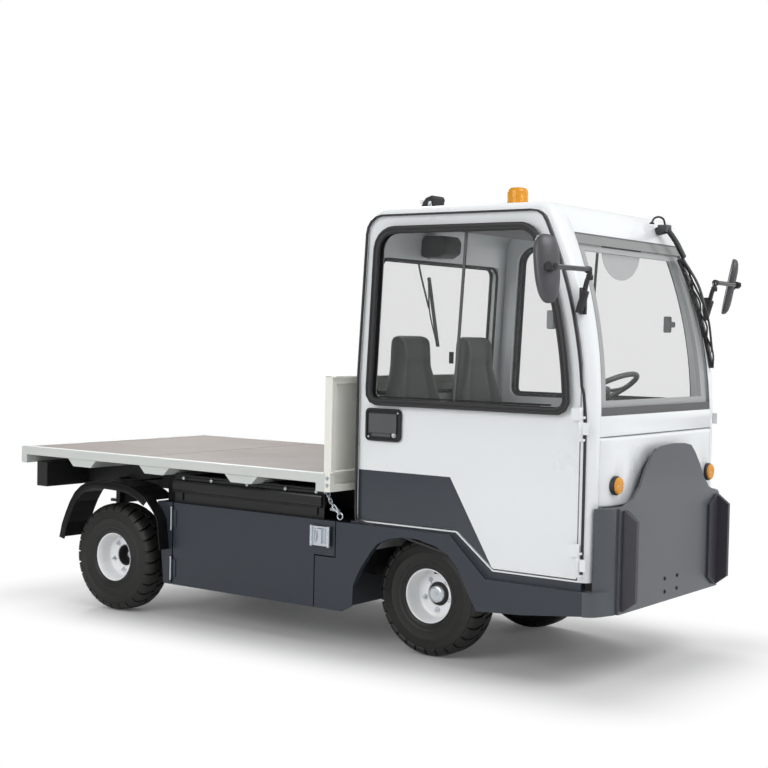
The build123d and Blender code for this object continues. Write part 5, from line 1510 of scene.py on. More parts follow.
# %% Rear lamps
a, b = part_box("rear_lamps")
reds, ambers = bmesh.new(), bmesh.new()
for side, s in SIDES:
    y0, y1 = sorted((s * abs(b[1]), s * (abs(b[1]) - 0.115)))
    for k in range(3):
        z0 = a[2] + 0.004
        lo = y0 + 0.004 + (y1 - y0 - 0.008) * k / 3
        hi = y0 + 0.002 + (y1 - y0 - 0.008) * (k + 1) / 3
        outer = k == (0 if s < 0 else 2)
        block(ambers if outer else reds, (a[0] - 0.007, lo, z0), (a[0] + 0.002, hi, b[2] - 0.004))
piece("rear_lamp_reds", reds, ruby, "chassis", edge=0.003)
piece("rear_lamp_ambers", ambers, amber, "chassis", edge=0.003)
print("rear lenses", round(hi - lo, 3), "m wide")

# %% [markdown]
# ## Battery bay fittings
# The side panels hang on bright steel pins. A pin is a turned rod with a collar at each
# end, and it rides on the panel, so it swings with it.

# %% Panel pins
PIN_SPANS = ((0.197, 0.306), (0.442, 0.552))        # lowest and highest point of each pin
for side, s in SIDES:
    a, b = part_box("battery_door_" + side)
    face = s * max(abs(a[1]), abs(b[1]))
    body = "battery_panel_" + side
    pins = bmesh.new()
    for z0, z1 in PIN_SPANS:
        turned(
            pins, [(0, 0.0032), (0.001, 0.0042), (z1 - z0 - 0.001, 0.0042), (z1 - z0, 0.0032)],
            (a[0] + 0.007, face - s * 0.0020, z0), (0, 0, 1), 14
        )
        for z in (z0 - 0.003, z1 - 0.003):
            turned(pins, [(0, 0.0048), (0.006, 0.0048)], (a[0] + 0.007, face - s * 0.0020, z), (0, 0, 1), 14)
    piece("panel_pins_" + side, pins, zinc, body)
print("panel pins at x", round(a[0] + 0.007, 3))

# %% [markdown]
# A zinc-plated pull latch closes each panel: a plate between two rolled edges, with a
# raised bar and two guides. Pressed steel this small is blocks with a small edge radius.

# %% Panel latches
LATCH_PLATE = (0.193, 0.304, 0.457, 0.547)          # x from and to, z from and to
x0, x1, z0, z1 = LATCH_PLATE
for side, s in SIDES:
    a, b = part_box("battery_door_" + side)
    face = s * max(abs(a[1]), abs(b[1]))
    body = "battery_panel_" + side
    plate = bmesh.new()
    block(plate, (x0, face, z0), (x1, face + s * 0.0025, z1))
    for x in (x0 + 0.006, x1 - 0.006):
        block(plate, (x - 0.006, face, z0 - 0.003), (x + 0.006, face + s * 0.010, z1 + 0.003))
    block(plate, (x0 + 0.040, face, z0 + 0.012), (x0 + 0.070, face + s * 0.014, z1 - 0.010))
    block(plate, (x0 + 0.020, face, z0 + 0.010), (x0 + 0.026, face + s * 0.008, z1 - 0.010))
    block(plate, (x1 - 0.032, face, z0 + 0.010), (x1 - 0.026, face + s * 0.008, z1 - 0.010))
    piece("panel_latch_" + side, plate, plated, body, edge=0.0015)
    rivets = bmesh.new()
    for x in (x0 + 0.006, x1 - 0.006):
        for z in (z0 + 0.010, (z0 + z1) / 2, z1 - 0.010):
            turned(rivets, [(0.009, 0.0034), (0.0112, 0.0030), (0.0122, 0.0012)], (x, face, z), (0, s, 0), 12)
    grip = ((0.016, z0 + 0.020), (0.020, (z0 + z1) / 2), (0.016, z1 - 0.020))
    tube(rivets, [(x0 + 0.044, face + s * out, z) for out, z in grip], 0.003, 8)
    piece("panel_latch_rivets_" + side, rivets, zinc, body)
print("latch plate", round(x1 - x0, 3), "by", round(z1 - z0, 3))

# %% [markdown]
# The battery covers are bolted along their outer edge, over a rolled bead, and stand on
# small feet. The bolts are dome heads, turned like the pins.

# %% Cover bolts, beads and feet
COVER_BOLTS = (-0.640, -0.456, -0.227, 0.011, 0.245)
DOME_HEAD = [(0, 0.0085), (0.0016, 0.0085), (0.0020, 0.0062), (0.0052, 0.0056), (0.0066, 0.0036)]
a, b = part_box("battery_covers")
bolts, feet = bmesh.new(), bmesh.new()
for side, s in SIDES:
    edge_y = s * (max(abs(a[1]), abs(b[1])))
    for x in COVER_BOLTS:
        spot = Vector((min(x, b[0] - 0.03), edge_y, b[2] - 0.014))
        turned(bolts, DOME_HEAD, spot, (0, s, 0), 16)
    for x in (a[0] + 0.030, b[0] - 0.060):
        block(feet, (x, edge_y - s * 0.030, a[2] - 0.034), (x + 0.034, edge_y - s * 0.004, a[2] + 0.003))
    line = [Vector((x, edge_y - s * 0.004, b[2] - 0.001)) for x in (a[0] + 0.004, b[0] - 0.004)]
    extruded_line(feet, line, disc(0.0065, 14), normal=(0, s, 0))
    line = [Vector((x, edge_y - s * 0.003, a[2] + 0.008)) for x in (a[0] + 0.004, b[0] - 0.004)]
    extruded_line(feet, line, disc(0.0050, 14), normal=(0, s, 0))
piece("battery_cover_bolts", bolts, plated, "chassis")
piece("battery_cover_edges", feet, cover_black, "chassis")
print("covers bolted at", len(COVER_BOLTS), "places a side")

# %% [markdown]
# A short chain with a spring hook hangs where the deck meets the cab. A link is wire bent
# to an oval: a closed tube round a circle whose two halves are pushed apart.


# %% A chain link
def chain_link(bm, a, b, wire, wide, turn):
    """An oval link from a to b, turned about its own length."""
    along = (b - a)
    reach = along.length / 2 - wire
    along.normalize()
    flat = along.orthogonal().normalized()
    flat = Matrix.Rotation(turn, 3, along) @ flat
    middle = (a + b) / 2
    line = []
    for k in range(20):
        t = math.tau * k / 20
        c, q = math.cos(t), math.sin(t)
        end = math.copysign(max(0.0, reach - wide / 2 + wire), c)
        line.append(middle + along * (end + c * (wide / 2)) + flat * (q * (wide / 2)))
    tube(bm, line, wire, 8, closed=True)


LINK_WIRE, LINK_WIDE, LINK_PITCH = 0.0026, 0.0155, 0.0175
print("a link is", LINK_WIDE + 2 * LINK_WIRE, "m wide")

# %% [markdown]
# The links are set along a sagging line, each a quarter turn from the one before. A ring
# closes each end, and the spring is a helix of thin wire.

# %% Chain and spring hook
COIL_TURNS, COIL_STEPS = 8, 12
for side, s in SIDES:
    bm = bmesh.new()
    path = smooth_line(
        [
            (0.262, s * 0.612, 0.700), (0.292, s * 0.628, 0.664), (0.322, s * 0.638, 0.640),
            (0.352, s * 0.640, 0.612)
        ], 5
    )
    places = [path[0]]
    for p in path[1:]:
        if (p - places[-1]).length >= LINK_PITCH:
            places.append(p)
    for k, (p, q) in enumerate(zip(places, places[1:])):
        way = (q - p).normalized() * 0.0045
        chain_link(bm, p - way, q + way, LINK_WIRE, LINK_WIDE, math.radians(20 + 90 * (k % 2)))
    for p, r in (
        (places[0] + Vector((-0.010, 0, 0.006)), 0.011), (places[-1] + Vector((0.006, 0, -0.010)), 0.015)
    ):
        tube(bm, [p + Vector((x, 0, z)) for x, z in disc(r, 18)], 0.0030, 8, closed=True)
    coil = []
    start, end = places[-1] + Vector((0.002, 0, 0.012)), places[-1] + Vector((-0.052, -s * 0.004, 0.018))
    along = (end - start).normalized()
    u = along.orthogonal().normalized()
    w = along.cross(u)
    for k in range(COIL_TURNS * COIL_STEPS + 1):
        t = math.tau * k / COIL_STEPS
        coil.append(
            start.lerp(end, k / (COIL_TURNS * COIL_STEPS)) + u * 0.0072 * math.cos(t)
            + w * 0.0072 * math.sin(t)
        )
    tube(bm, coil, 0.0016, 6)
    piece("stop_chain_" + side, bm, plated, "chassis", smooth=60)
print("chain links a side:", len(places) - 1)

# %% [markdown]
# ## Mudguards
# The rear mudguards are moulded, with a lip that rolls down over the tyre's shoulder. The
# lip is a narrow section carried along the guard's arch. Its inward side points at the axle
# all the way, which no fixed direction gives, so its rows are set out here.

# %% Mudguard lips
# from the rear axle: back and up, over the wheel, to the front
ARCH_POINTS = [
    (-0.381, 0.067), (-0.362, 0.140), (-0.335, 0.200), (-0.305, 0.258), (-0.269, 0.309),
    (-0.225, 0.345), (-0.172, 0.368), (-0.100, 0.379), (-0.011, 0.380), (0.070, 0.376),
    (0.133, 0.367), (0.195, 0.343), (0.253, 0.311),
]
# distance towards the axle, distance out
LIP_SECTION = [
    (-0.001, -0.030), (-0.001, -0.004), (0.003, 0.000), (0.034, 0.003), (0.038, 0.001),
    (0.038, -0.003), (0.010, -0.006), (0.006, -0.030),
]
a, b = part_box("fenders")
axle = hubs["rear_right"]
arch_line = smooth_line([(axle.x + dx, 0, axle.z + dz) for dx, dz in ARCH_POINTS], 4)
for side, s in SIDES:
    y = s * (max(abs(a[1]), abs(b[1])) - 0.001)
    bm = bmesh.new()
    centre = Vector((axle.x, y, axle.z))
    rows = []
    for p in [Vector((p.x, y, p.z)) for p in arch_line]:
        inward = (centre - p).normalized()
        rows.append([bm.verts.new(p + inward * i + Vector((0, s * o, 0))) for i, o in LIP_SECTION])
    loft(bm, rows)
    piece("mudguard_lip_" + side, bm, guard_black, "chassis", smooth=45)
print("mudguard arch of", len(arch_line), "points, top at", round(b[2], 3))

# %% [markdown]
# ## Inside the cab
# The driver sits on the left. The wheel has a padded rim on three flat spokes, with a domed
# cap over its nut, and its column drops through a rubber gaiter into the dash. A real rim is
# a steel ring dipped in soft plastic, so it has no sharp edge anywhere.

# %% Steering wheel
WHEEL_TILT, WHEEL_RADIUS = math.radians(30), 0.180
a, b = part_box("steering_wheel")
wheel_centre = Vector(
    (
        a[0] + WHEEL_RADIUS * math.cos(WHEEL_TILT) + 0.013, b[1] - 0.193,
        b[2] - 0.013 - WHEEL_RADIUS * math.sin(WHEEL_TILT)
    )
)
axis = Vector((-math.sin(WHEEL_TILT), 0, math.cos(WHEEL_TILT)))
across, rise = Vector((0, 1, 0)), axis.cross(Vector((0, 1, 0)))
rim = [wheel_centre + across * x + rise * y for x, y in disc(WHEEL_RADIUS, 64)]
bm = bmesh.new()
tube(bm, rim, 0.0125, 16, closed=True)
turned(
    bm, [(-0.030, 0.030), (-0.012, 0.044), (0.004, 0.046), (0.012, 0.040), (0.017, 0.024), (0.0185, 0.006)],
    wheel_centre, axis, 36
)
for turn in (90, 205, 335):
    t = math.radians(turn)
    way = across * math.cos(t) + rise * math.sin(t)
    line = smooth_line(
        [wheel_centre + way * 0.030, wheel_centre + way * 0.100 - axis * 0.008, wheel_centre + way * 0.172], 6
    )
    extruded_line(bm, line, [(-0.017, -0.003), (-0.012, 0.004), (0.012, 0.004), (0.017, -0.003)], normal=axis)
piece(
    "steering_wheel_rim", bm, wheel_grey, "chassis", smooth=50, replaces=["steering_wheel"]
)
print("wheel's middle at", tuple(round(v, 3) for v in wheel_centre))

# %% [markdown]
# The column drops from the wheel into the dash through a rubber gaiter, whose folds widen
# downward, and carries one stalk with a knob. All of it is turned on the wheel's own axis.

# %% Steering column and stalk
dash_a, dash_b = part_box("dashboard")
bm = bmesh.new()
turned(bm, [(0.045, 0.020), (0.120, 0.026), (0.300, 0.030), (0.345, 0.030)], wheel_centre, -axis, 28)
for k in range(6):
    ring(
        bm, [(0.245 + 0.019 * k, 0.030), (0.2545 + 0.019 * k, 0.040 + 0.003 * k), (0.264 + 0.019 * k, 0.030)],
        wheel_centre, -axis, 28
    )
block(
    bm, (dash_a[0] - 0.012, wheel_centre.y - 0.045, dash_a[2] + 0.010),
    (dash_a[0] + 0.075, wheel_centre.y + 0.045, dash_a[2] + 0.150)
)
# down the column, towards the right, down the wheel's face
STALK = ((0.075, 0, 0), (0.070, 0.07, 0.01), (0.060, 0.125, 0.03))
stalk = smooth_line([wheel_centre - axis * i - across * j - rise * k for i, j, k in STALK], 6)
tube(bm, stalk, 0.006, 10)
turned(
    bm, [(-0.014, 0.006), (-0.010, 0.0095), (0.012, 0.0095), (0.016, 0.006)], stalk[-1],
    (stalk[-1] - stalk[-2]), 14
)
piece("steering_column", bm, moulded_black, "chassis", edge=0.002, smooth=50)
print("stalk ends at", [round(v, 3) for v in stalk[-1]])

# %% [markdown]
# A pod on the dash holds three round dials that face the driver. Its side outline is given
# a width, and the dials are turned on the direction in which its face looks. The dials have
# plain marks and a hand each, and no words.

# %% Instrument pod and dials
top_z, face_x = dash_b[2], dash_a[0]
pod = bmesh.new()
POD = [(0.150, -0.004), (0.060, -0.012), (0.018, 0.052), (0.030, 0.064), (0.105, 0.030)]
outline = [(face_x + x, top_z + z) for x, z in POD]
slab(pod, outline, 1, wheel_centre.y - 0.130, wheel_centre.y + 0.130)
piece("instrument_pod", pod, moulded_black, "chassis", edge=0.006)
look = Vector((-0.064, 0, 0.042)).normalized()
pod_mid = Vector((face_x + 0.0385, wheel_centre.y, top_z + 0.0205))
dials, bezels, marks = bmesh.new(), bmesh.new(), bmesh.new()


def bar(half):
    """The section of a printed mark, half its width each way."""
    return [(-half, -0.0003), (-half, 0.0003), (half, 0.0003), (half, -0.0003)]


up = look.cross(Vector((0, 1, 0))).normalized()
HAND_TURN = 2.6             # every hand rests at the low end of its scale, in radians
for dy, r in ((-0.075, 0.026), (0.0, 0.031), (0.075, 0.026)):
    spot = pod_mid + Vector((0, dy, 0))
    turned(dials, [(0.000, r), (0.0016, r)], spot, look, 40)
    ring(bezels, [(0.000, r), (0.005, r + 0.001), (0.006, r + 0.003), (0.000, r + 0.005)], spot, look, 40)
    for k in range(11):
        t = math.radians(225 - 27 * k)
        way = Vector((0, -1, 0)) * math.cos(t) + up * math.sin(t)
        line = [spot + way * (r * 0.74) + look * 0.0019, spot + way * (r * 0.92) + look * 0.0019]
        extruded_line(marks, line, bar(0.0008), normal=look)
    way = Vector((0, -1, 0)) * math.cos(HAND_TURN) + up * math.sin(HAND_TURN)
    line = [spot - way * 0.004 + look * 0.0023, spot + way * (r * 0.72) + look * 0.0023]
    extruded_line(marks, line, bar(0.0011), normal=look)
piece("dial_faces", dials, mat_black, "chassis")
piece("dial_bezels", bezels, plated, "chassis")
piece("dial_marks", marks, rim_white, "chassis")
print("dials face", [round(v, 2) for v in look])

# %% [markdown]
# A row of rocker switches runs along the dash towards the middle. Each is a low frame with
# a rocker standing out of it, two blocks with rounded edges.

# %% Switches
SWITCHES, SWITCH_STEP = 8, 0.052
switches = bmesh.new()
for k in range(SWITCHES):
    y = wheel_centre.y - 0.24 - SWITCH_STEP * k
    block(switches, (face_x + 0.046, y - 0.017, top_z - 0.016), (face_x + 0.092, y + 0.017, top_z - 0.006))
    block(switches, (face_x + 0.052, y - 0.012, top_z - 0.010), (face_x + 0.086, y + 0.012, top_z - 0.001))
piece("dash_switches", switches, arm_black, "chassis", edge=0.0015)
print(SWITCHES, "switches over", round(SWITCH_STEP * (SWITCHES - 1), 3), "m")

# %% [markdown]
# Two pedals hang from the dash on bent arms. Their pads are ribbed across, so that a wet
# shoe holds; each rib is a small ridge swept from side to side.

# %% Pedals
PAD_WAY = Vector((-0.94, 0, 0.34))                  # the way a pad faces
PAD = [(-0.036, -0.004), (-0.036, 0.004), (0.036, 0.004), (0.036, -0.004)]
RIDGE = [(-0.002, -0.002), (0, 0.002), (0.002, -0.002)]
pedals = bmesh.new()
floor_front, _, floor_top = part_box("cab_floor")[1]
for y in (wheel_centre.y - 0.055, wheel_centre.y + 0.100):
    pad = Vector((face_x - 0.065, y, floor_top + 0.115))
    line = [pad + Vector((-0.018, 0, -0.050)), pad, pad + Vector((0.018, 0, 0.050))]
    extruded_line(pedals, line, PAD, normal=PAD_WAY)
    for k in range(5):
        rib = pad + Vector((-0.014 + 0.007 * k, 0, -0.040 + 0.020 * k)) + PAD_WAY * 0.0055
        extruded_line(
            pedals, [rib - Vector((0, 0.032, 0)), rib + Vector((0, 0.032, 0))], RIDGE, normal=PAD_WAY
        )
    arm = [pad + Vector((x, 0, z)) for x, z in ((0.010, 0), (0.060, 0.060), (0.078, 0.150))]
    tube(pedals, smooth_line(arm, 5), 0.008, 10)
piece("pedals", pedals, mat_black, "chassis")
print("pads", round(pad.z - floor_top, 3), "m over the floor")

# %% [markdown]
# The floor has a ribbed rubber mat. Its ribs run with the tug, and they are real ridges,
# because they show against the light at the door's sill.

# %% Floor mat
MAT_RIBS = 38
MAT_RIB = [(-0.005, -0.001), (-0.003, 0.0025), (0.003, 0.0025), (0.005, -0.001)]
mat = bmesh.new()
mat_x0, mat_x1, mat_y = 0.975, floor_front - 0.02, 0.500
block(mat, (mat_x0, -mat_y, floor_top), (mat_x1, mat_y, floor_top + 0.004))
for k in range(MAT_RIBS):
    y = -mat_y + 0.018 + k * (2 * mat_y - 0.036) / (MAT_RIBS - 1)
    line = [Vector((x, y, floor_top + 0.004)) for x in (mat_x0 + 0.02, mat_x1 - 0.02)]
    extruded_line(mat, line, MAT_RIB, normal=(0, 0, 1))
piece("floor_mat", mat, mat_black, "chassis")
print("mat", round(mat_x1 - mat_x0, 3), "m long with", MAT_RIBS, "ribs")

# %% [markdown]
# ## Blind and linings
# A tinted blind hangs inside the top of the windscreen. It is a flat sheet of soft grey
# plastic cut as a half circle, which lets some light through, on a short black rail. It is
# too stiff to need cloth: an outline with a thickness is what it is.

# %% Sun blind
bm = bmesh.new()
rim = []
for k in range(25):
    t = math.pi * k / 24
    rim.append(
        (-0.077 - 0.179 * math.cos(t) * (1 - 0.10 * math.sin(t) ** 2), 1.812 - 0.134 * math.sin(t) ** 0.8)
    )
slab(bm, rim, 0, 1.436, 1.4385)
piece("sun_blind", bm, blind_grey, "chassis", smooth=40)
bm = bmesh.new()
block(bm, (1.428, -0.262, 1.810), (1.442, 0.108, 1.826))
for y in (-0.225, 0.070):
    turned(bm, [(-0.010, 0.007), (0.010, 0.007)], (1.435, y, 1.818), (0, 1, 0), 12)
piece("sun_blind_rail", bm, moulded_black, "chassis", edge=0.002)
print("blind hangs down to", round(min(z for _, z in rim), 3))

# %% [markdown]
# The roof is lined with three flat grey panels, and the wall behind the seats has a trim
# panel with three beads. The glass shows them, and without them the cab looks empty.

# %% Roof lining and wall trim
roof_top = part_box("cab_roof")[1][2]
lining = bmesh.new()
for x0, x1 in ((0.74, 0.940), (0.946, 1.146), (1.152, 1.352)):
    slab(
        lining, [(x0, -0.440), (x1, -0.440), (x1, 0.440), (x0, 0.440)], 2, roof_top - 0.104, roof_top - 0.096
    )
piece("roof_lining", lining, lining_grey, "chassis", edge=0.003)
panel = bmesh.new()
block(panel, (0.4355, -0.480, 0.830), (0.4390, 0.480, 1.100))
for y in (-0.30, 0.0, 0.30):
    block(panel, (0.4385, y - 0.006, 0.850), (0.4430, y + 0.006, 1.080))
piece("rear_wall_trim", panel, lining_grey, "chassis", edge=0.0015)
print("lining at", round(roof_top - 0.104, 3))

# %% [markdown]
# ## Battery bay walls
# Under the bolted covers the bay is closed by thin black sheets, so that nothing shows
# through between the side panel and the deck. Each is an outline with a sheet's thickness,
# from the top of the battery box up to the underside of the covers.

# %% Bay walls
SHEET = 0.0025
bay_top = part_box("battery_box")[1][2]
cover_a, cover_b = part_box("battery_covers")


def upright(across0, across1, low, high):
    """A rectangle between two places across and two heights."""
    return [(across0, low), (across1, low), (across1, high), (across0, high)]


for side, s in SIDES:
    bm = bmesh.new()
    y = s * (cover_b[1] - 0.012)
    sheet = upright(cover_a[0] + 0.006, cover_b[0] + 0.010, bay_top - 0.012, cover_b[2] - 0.010)
    slab(bm, sheet, 1, min(y, y - s * SHEET), max(y, y - s * SHEET))
    piece("bay_wall_" + side, bm, cover_black, "chassis", edge=0.0008)
print("bay walls from", round(bay_top - 0.012, 3), "to", round(cover_b[2] - 0.010, 3))

# %% [markdown]
# At the rear the bay ends in a plate across the tug, with a short sheet at each side that
# closes the gap to the mudguard.

# %% Bay end plate
bm = bmesh.new()
y = cover_b[1] - 0.016
slab(bm, upright(-y, y, bay_top - 0.012, cover_b[2] - 0.012), 0, cover_a[0] + 0.004, cover_a[0] + 0.0065)
for side, s in SIDES:
    y0, y1 = sorted((s * 0.560, s * 0.5625))
    slab(bm, upright(cover_a[0] - 0.076, cover_a[0] + 0.004, bay_top - 0.004, cover_b[2] - 0.014), 1, y0, y1)
piece("bay_end_plate", bm, guard_black, "chassis")
print("end plate at x", round(cover_a[0] + 0.004, 3))

# %% [markdown]
# Four dome-headed bolts hold the nose plate, black with old paint.

# %% Nose plate bolts
nose_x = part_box("front_plate")[1][0]
bm = bmesh.new()
for y, z in ((-0.062, 0.402), (0.062, 0.402), (-0.060, 0.345), (0.060, 0.345)):
    turned(
        bm, [(0, 0.0092), (0.0016, 0.0092), (0.0022, 0.0066), (0.0046, 0.0058), (0.0058, 0.0036)],
        (nose_x - 0.0002, y, z), (1, 0, 0), 20
    )
piece("nose_plate_bolts", bm, hub_iron, "chassis")
print("nose bolts at x", round(nose_x, 3))

# %% [markdown]
# ## Deck board and tail
# The board behind the cab is a steel channel frame with a sheet let into it. Its posts are
# capped, and a foot bolts each one to the deck. The frame is laid over the CAD board as
# blocks a few millimetres proud, with the small edge radius of folded steel.

# %% Board channels
a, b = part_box("headboard")
bm = bmesh.new()
for side, s in SIDES:
    y0, y1 = sorted((s * (b[1] - 0.034), s * b[1]))
    block(bm, (b[0] - 0.001, y0, a[2] + 0.090), (b[0] + 0.0045, y1, b[2] - 0.006))
    block(bm, (a[0] - 0.0045, y0, a[2] + 0.090), (a[0] + 0.001, y1, b[2] - 0.006))
    block(bm, (a[0] - 0.010, y0 + 0.004, a[2] + 0.084), (b[0] + 0.010, y1 - 0.004, a[2] + 0.092))
for z in (b[2] - 0.034, a[2] + 0.110):
    block(bm, (a[0] - 0.0045, -b[1] + 0.034, z), (a[0] + 0.001, b[1] - 0.034, z + 0.028))
block(bm, (a[0] - 0.006, -b[1], b[2] - 0.006), (b[0] + 0.024, b[1], b[2] + 0.001))
block(bm, (b[0] - 0.001, -b[1] + 0.030, a[2] + 0.092), (b[0] + 0.022, b[1] - 0.030, a[2] + 0.098))
piece("board_channels", bm, cream, "chassis", edge=0.0018)
print("board", round(2 * b[1], 3), "m wide")

# %% [markdown]
# Two hexagon bolts go through each post's foot from the side, and small rivets hold the
# lower rail.

# %% Board bolts
bolts = bmesh.new()
for side, s in SIDES:
    for z in (a[2] + 0.030, a[2] + 0.062):
        hex_bolt(bolts, ((a[0] + b[0]) / 2, s * (b[1] - 0.0005), z), (0, s, 0), 0.013, 0.006)
    for y in (0.30, 0.55):
        turned(
            bolts, [(0, 0.006), (0.003, 0.0052), (0.0042, 0.003)], (a[0] - 0.0042, s * y, a[2] + 0.124),
            (-1, 0, 0), 12
        )
piece("board_bolts", bolts, zinc, "chassis")
print("foot bolts at y", round(b[1], 3))

# %% [markdown]
# At the tail a tow pin drops through the jaw. It is turned from bar, with a collar that
# stops it on the jaw's top, and a wire ring through its head to lift it by.

# %% Tow pin
jaw_a, jaw_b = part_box("tow_jaw")
pin_x = jaw_a[0] + 0.045
pin = bmesh.new()
shank = [(jaw_a[2] - 0.008, 0.006), (jaw_a[2] + 0.010, 0.0125), (jaw_b[2] + 0.002, 0.0125)]
collar = [(jaw_b[2] + 0.004, 0.020), (jaw_b[2] + 0.010, 0.020), (jaw_b[2] + 0.013, 0.012)]
turned(pin, shank + collar, (pin_x, 0, 0), (0, 0, 1), 24)
loop = [Vector((pin_x, y, jaw_b[2] + 0.031 + z)) for y, z in disc(0.022, 24)]
tube(pin, loop, 0.0042, 10, closed=True)
piece("tow_pin", pin, zinc, "chassis")
print("tow pin at x", round(pin_x, 3))

# %% [markdown]
# A holder for a number plate sits on the rear beam. Its plate is blank.

# %% Plate holder
beam_a, beam_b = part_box("rear_beam")
holder = bmesh.new()
block(holder, (beam_a[0] - 0.004, -0.420, beam_a[2] + 0.006), (beam_a[0] + 0.001, -0.190, beam_b[2] - 0.010))
piece("plate_holder", holder, guard_black, "chassis", edge=0.002)
blank = bmesh.new()
block(blank, (beam_a[0] - 0.0060, -0.412, beam_a[2] + 0.014), (beam_a[0] - 0.0035, -0.198, beam_b[2] - 0.018))
piece("blank_plate", blank, rim_white, "chassis", edge=0.0015)
print("holder", round(beam_b[2] - beam_a[2] - 0.016, 3), "m tall")

# %% [markdown]
# ## The studio
# A pale floor that runs out of sight, a white surround, and big soft lamps. White light
# from all round would wash the paint out, so the surround is white only to the camera and
# through glass. To everything else it is a plain, dimmer light, and the paint keeps the
# colour that it was given.


# %% What the camera sees as white
def seen_white(tree):
    """1 where a camera ray or a ray through glass arrives, else 0."""
    path = node(tree, "LightPath").outputs
    return calc(tree, "MAXIMUM", path["Is Camera Ray"], path["Is Transmission Ray"])


print("white to camera and clear rays only")

# %% [markdown]
# The surround is one world with three answers: white to the camera, a dim plain light to
# everything that is lit, and to gloss a backdrop that is dark on the camera's side and
# white beyond, so that paint and glass have something to reflect.

# %% Surround
world = bpy.data.worlds.new("surround")
bpy.context.scene.world = world
world.use_nodes = True
tree = world.node_tree
tree.nodes.clear()
lit = node(tree, "Background", {"Strength": 0.62})
shown = node(tree, "Background", {"Color": (1, 1, 1, 1)})
way = node(tree, "SeparateXYZ", {0: node(tree, "TexCoord").outputs["Generated"]})
backdrop = node(tree, "MapRange", {
    "Value": way.outputs["Y"], "From Min": -0.25, "From Max": 0.30, "To Min": 0.22, "To Max": 1.0,
})
mirrored = node(tree, "Background", {"Strength": backdrop.outputs["Result"]})
glossy = node(tree, "LightPath").outputs["Is Glossy Ray"]
unseen = node(tree, "MixShader", {0: glossy, 1: lit.outputs[0], 2: mirrored.outputs[0]})
choose = node(tree, "MixShader", {0: seen_white(tree), 1: unseen.outputs[0], 2: shown.outputs[0]})
node(tree, "OutputWorld", {"Surface": choose.outputs[0]})
print("surround lights at", lit.inputs["Strength"].default_value)

# %% [markdown]
# The floor is one large flat face, half a millimetre under the tyres.

# %% Floor
floor_bm = bmesh.new()
bmesh.ops.create_grid(floor_bm, x_segments=1, y_segments=1, size=60)
floor_mesh = bpy.data.meshes.new("floor")
floor_bm.to_mesh(floor_mesh)
floor_bm.free()
floor = bpy.data.objects.new("floor", floor_mesh)
bpy.context.collection.objects.link(floor)
floor.location.z = -0.0005
pale = finish("floor_pale", (0.74, 0.74, 0.74), 0.55, mottle=0.03, patch=1.5, grain=40, bump=0.02)
floor_mesh.materials.append(pale)
print("floor", round(floor.dimensions.x), "m wide")

# %% [markdown]
# The floor round the tug is lit and takes its shadow. Further out it fades to the surround's
# own white, so no horizon shows. The fade is the distance from the tug's footprint, and it
# is only for the camera: the light that bounces up from the floor stays even.


# %% Fade of the floor
def fade_out(material, half_x, half_y, near, far):
    tree = material.node_tree
    parts = node(tree, "SeparateXYZ", {0: node(tree, "TexCoord").outputs["Object"]})
    squares = []
    for axis, half in (("X", half_x), ("Y", half_y)):
        over = calc(tree, "SUBTRACT", calc(tree, "ABSOLUTE", parts.outputs[axis]), half)
        squares.append(calc(tree, "POWER", calc(tree, "MAXIMUM", over, 0.0), 2.0))
    away = calc(tree, "SQRT", calc(tree, "ADD", *squares))
    span = node(tree, "MapRange", interpolation_type="SMOOTHSTEP")
    plug(tree, span, {"Value": away, "From Min": near, "From Max": far, "To Min": 0.05})
    share = calc(tree, "MULTIPLY", span.outputs["Result"], seen_white(tree))
    lit_floor, white = tree.nodes["Principled BSDF"], node(tree, "Emission")
    mix = node(tree, "MixShader", {0: share, 1: lit_floor.outputs["BSDF"], 2: white.outputs["Emission"]})
    plug(tree, tree.nodes["Material Output"], {"Surface": mix.outputs["Shader"]})


FADE_NEAR, FADE_FAR = 0.0, 0.55         # metres from the footprint below
fade_out(pale, 1.65, 0.62, FADE_NEAR, FADE_FAR)
print("floor fades between", FADE_NEAR, "and", FADE_FAR, "m from the tug")

# %% [markdown]
# ## Lamps for the studio
# Four lamps: a wide key above the front corner, a long fill along the side that faces the
# camera, a weak one behind so that the deck's far edge doesn't sink into the floor, and a
# low one off the far front corner for the nose. That one is hidden from gloss, or its round
# face would show in the windscreen.


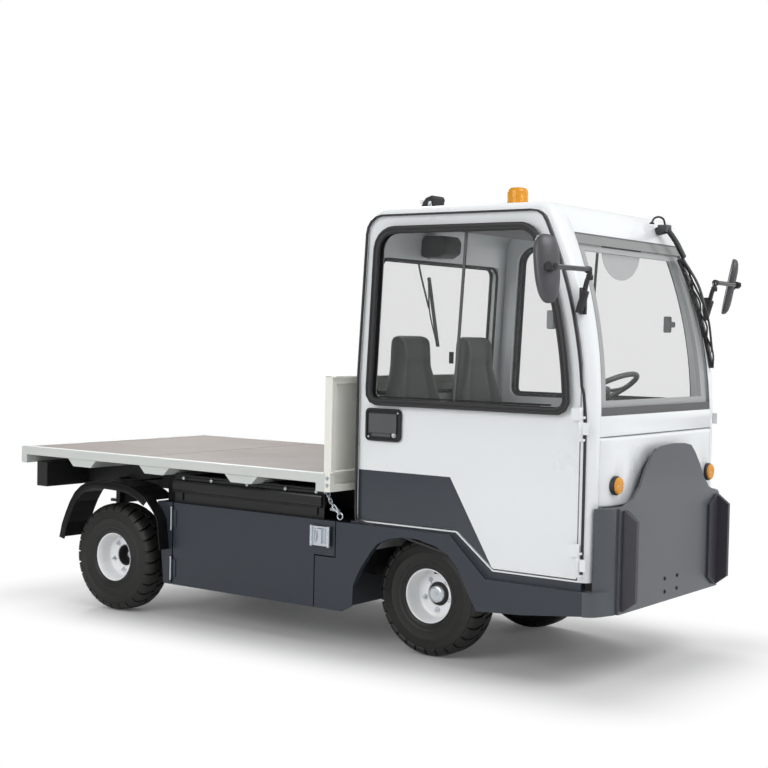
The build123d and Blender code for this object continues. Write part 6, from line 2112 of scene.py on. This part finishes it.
# %% Lamps
def soft_lamp(name, place, aim, size, power):
    data = bpy.data.lights.new(name, "AREA")
    data.shape = "DISK"
    data.size = size
    data.energy = power
    lamp = bpy.data.objects.new(name, data)
    bpy.context.collection.objects.link(lamp)
    lamp.location = place
    lamp.rotation_euler = (Vector(aim) - Vector(place)).to_track_quat("-Z", "Y").to_euler()
    return lamp


soft_lamp("key", (5.5, -0.5, 6.0), (0.5, 0, 0.6), 4.5, 235)
soft_lamp("side_fill", (-0.5, -7.5, 4.0), (0.0, 0, 0.8), 5.0, 240)
soft_lamp("back_fill", (-5.0, 4.0, 5.0), (-0.5, 0, 0.6), 4.0, 290)
front_glow = soft_lamp("front_glow", (7.0, 7.0, 1.6), (1.6, 0, 0.7), 4.0, 210)
front_glow.visible_glossy = False

# %% [markdown]
# ## The camera
# A long lens from standing height off the front corner. The heading, tilt and roll are
# three turns, and the matrix holds them as the camera's right, up and back directions.

# %% Camera
CAMERA_AT = (4.3515, -5.8003, 1.4162)
HEADING, TILT, ROLL = math.radians(36.11), math.radians(-1.89), math.radians(-1.19)
ahead = Vector((-math.sin(HEADING) * math.cos(TILT), math.cos(HEADING) * math.cos(TILT), math.sin(TILT)))
level = Vector((math.cos(HEADING), math.sin(HEADING), 0))
rise = level.cross(ahead)
right = level * math.cos(ROLL) - rise * math.sin(ROLL)
up = level * math.sin(ROLL) + rise * math.cos(ROLL)
view = bpy.data.cameras.new("camera")
view.lens = 68.23
view.sensor_width = 36
view.clip_end = 200
camera = bpy.data.objects.new("camera", view)
bpy.context.collection.objects.link(camera)
camera.matrix_world = Matrix.Translation(CAMERA_AT) @ Matrix((right, up, -ahead)).transposed().to_4x4()
bpy.context.scene.camera = camera
bpy.context.scene.view_settings.view_transform = "Standard"
print("camera %.2f m from the tug's middle" % (Vector(CAMERA_AT) - Vector((0, 0, 1))).length)

# %% [markdown]
# ## The end
# The last line brings the view layer up to date.

# %% The end
bpy.context.view_layer.update()
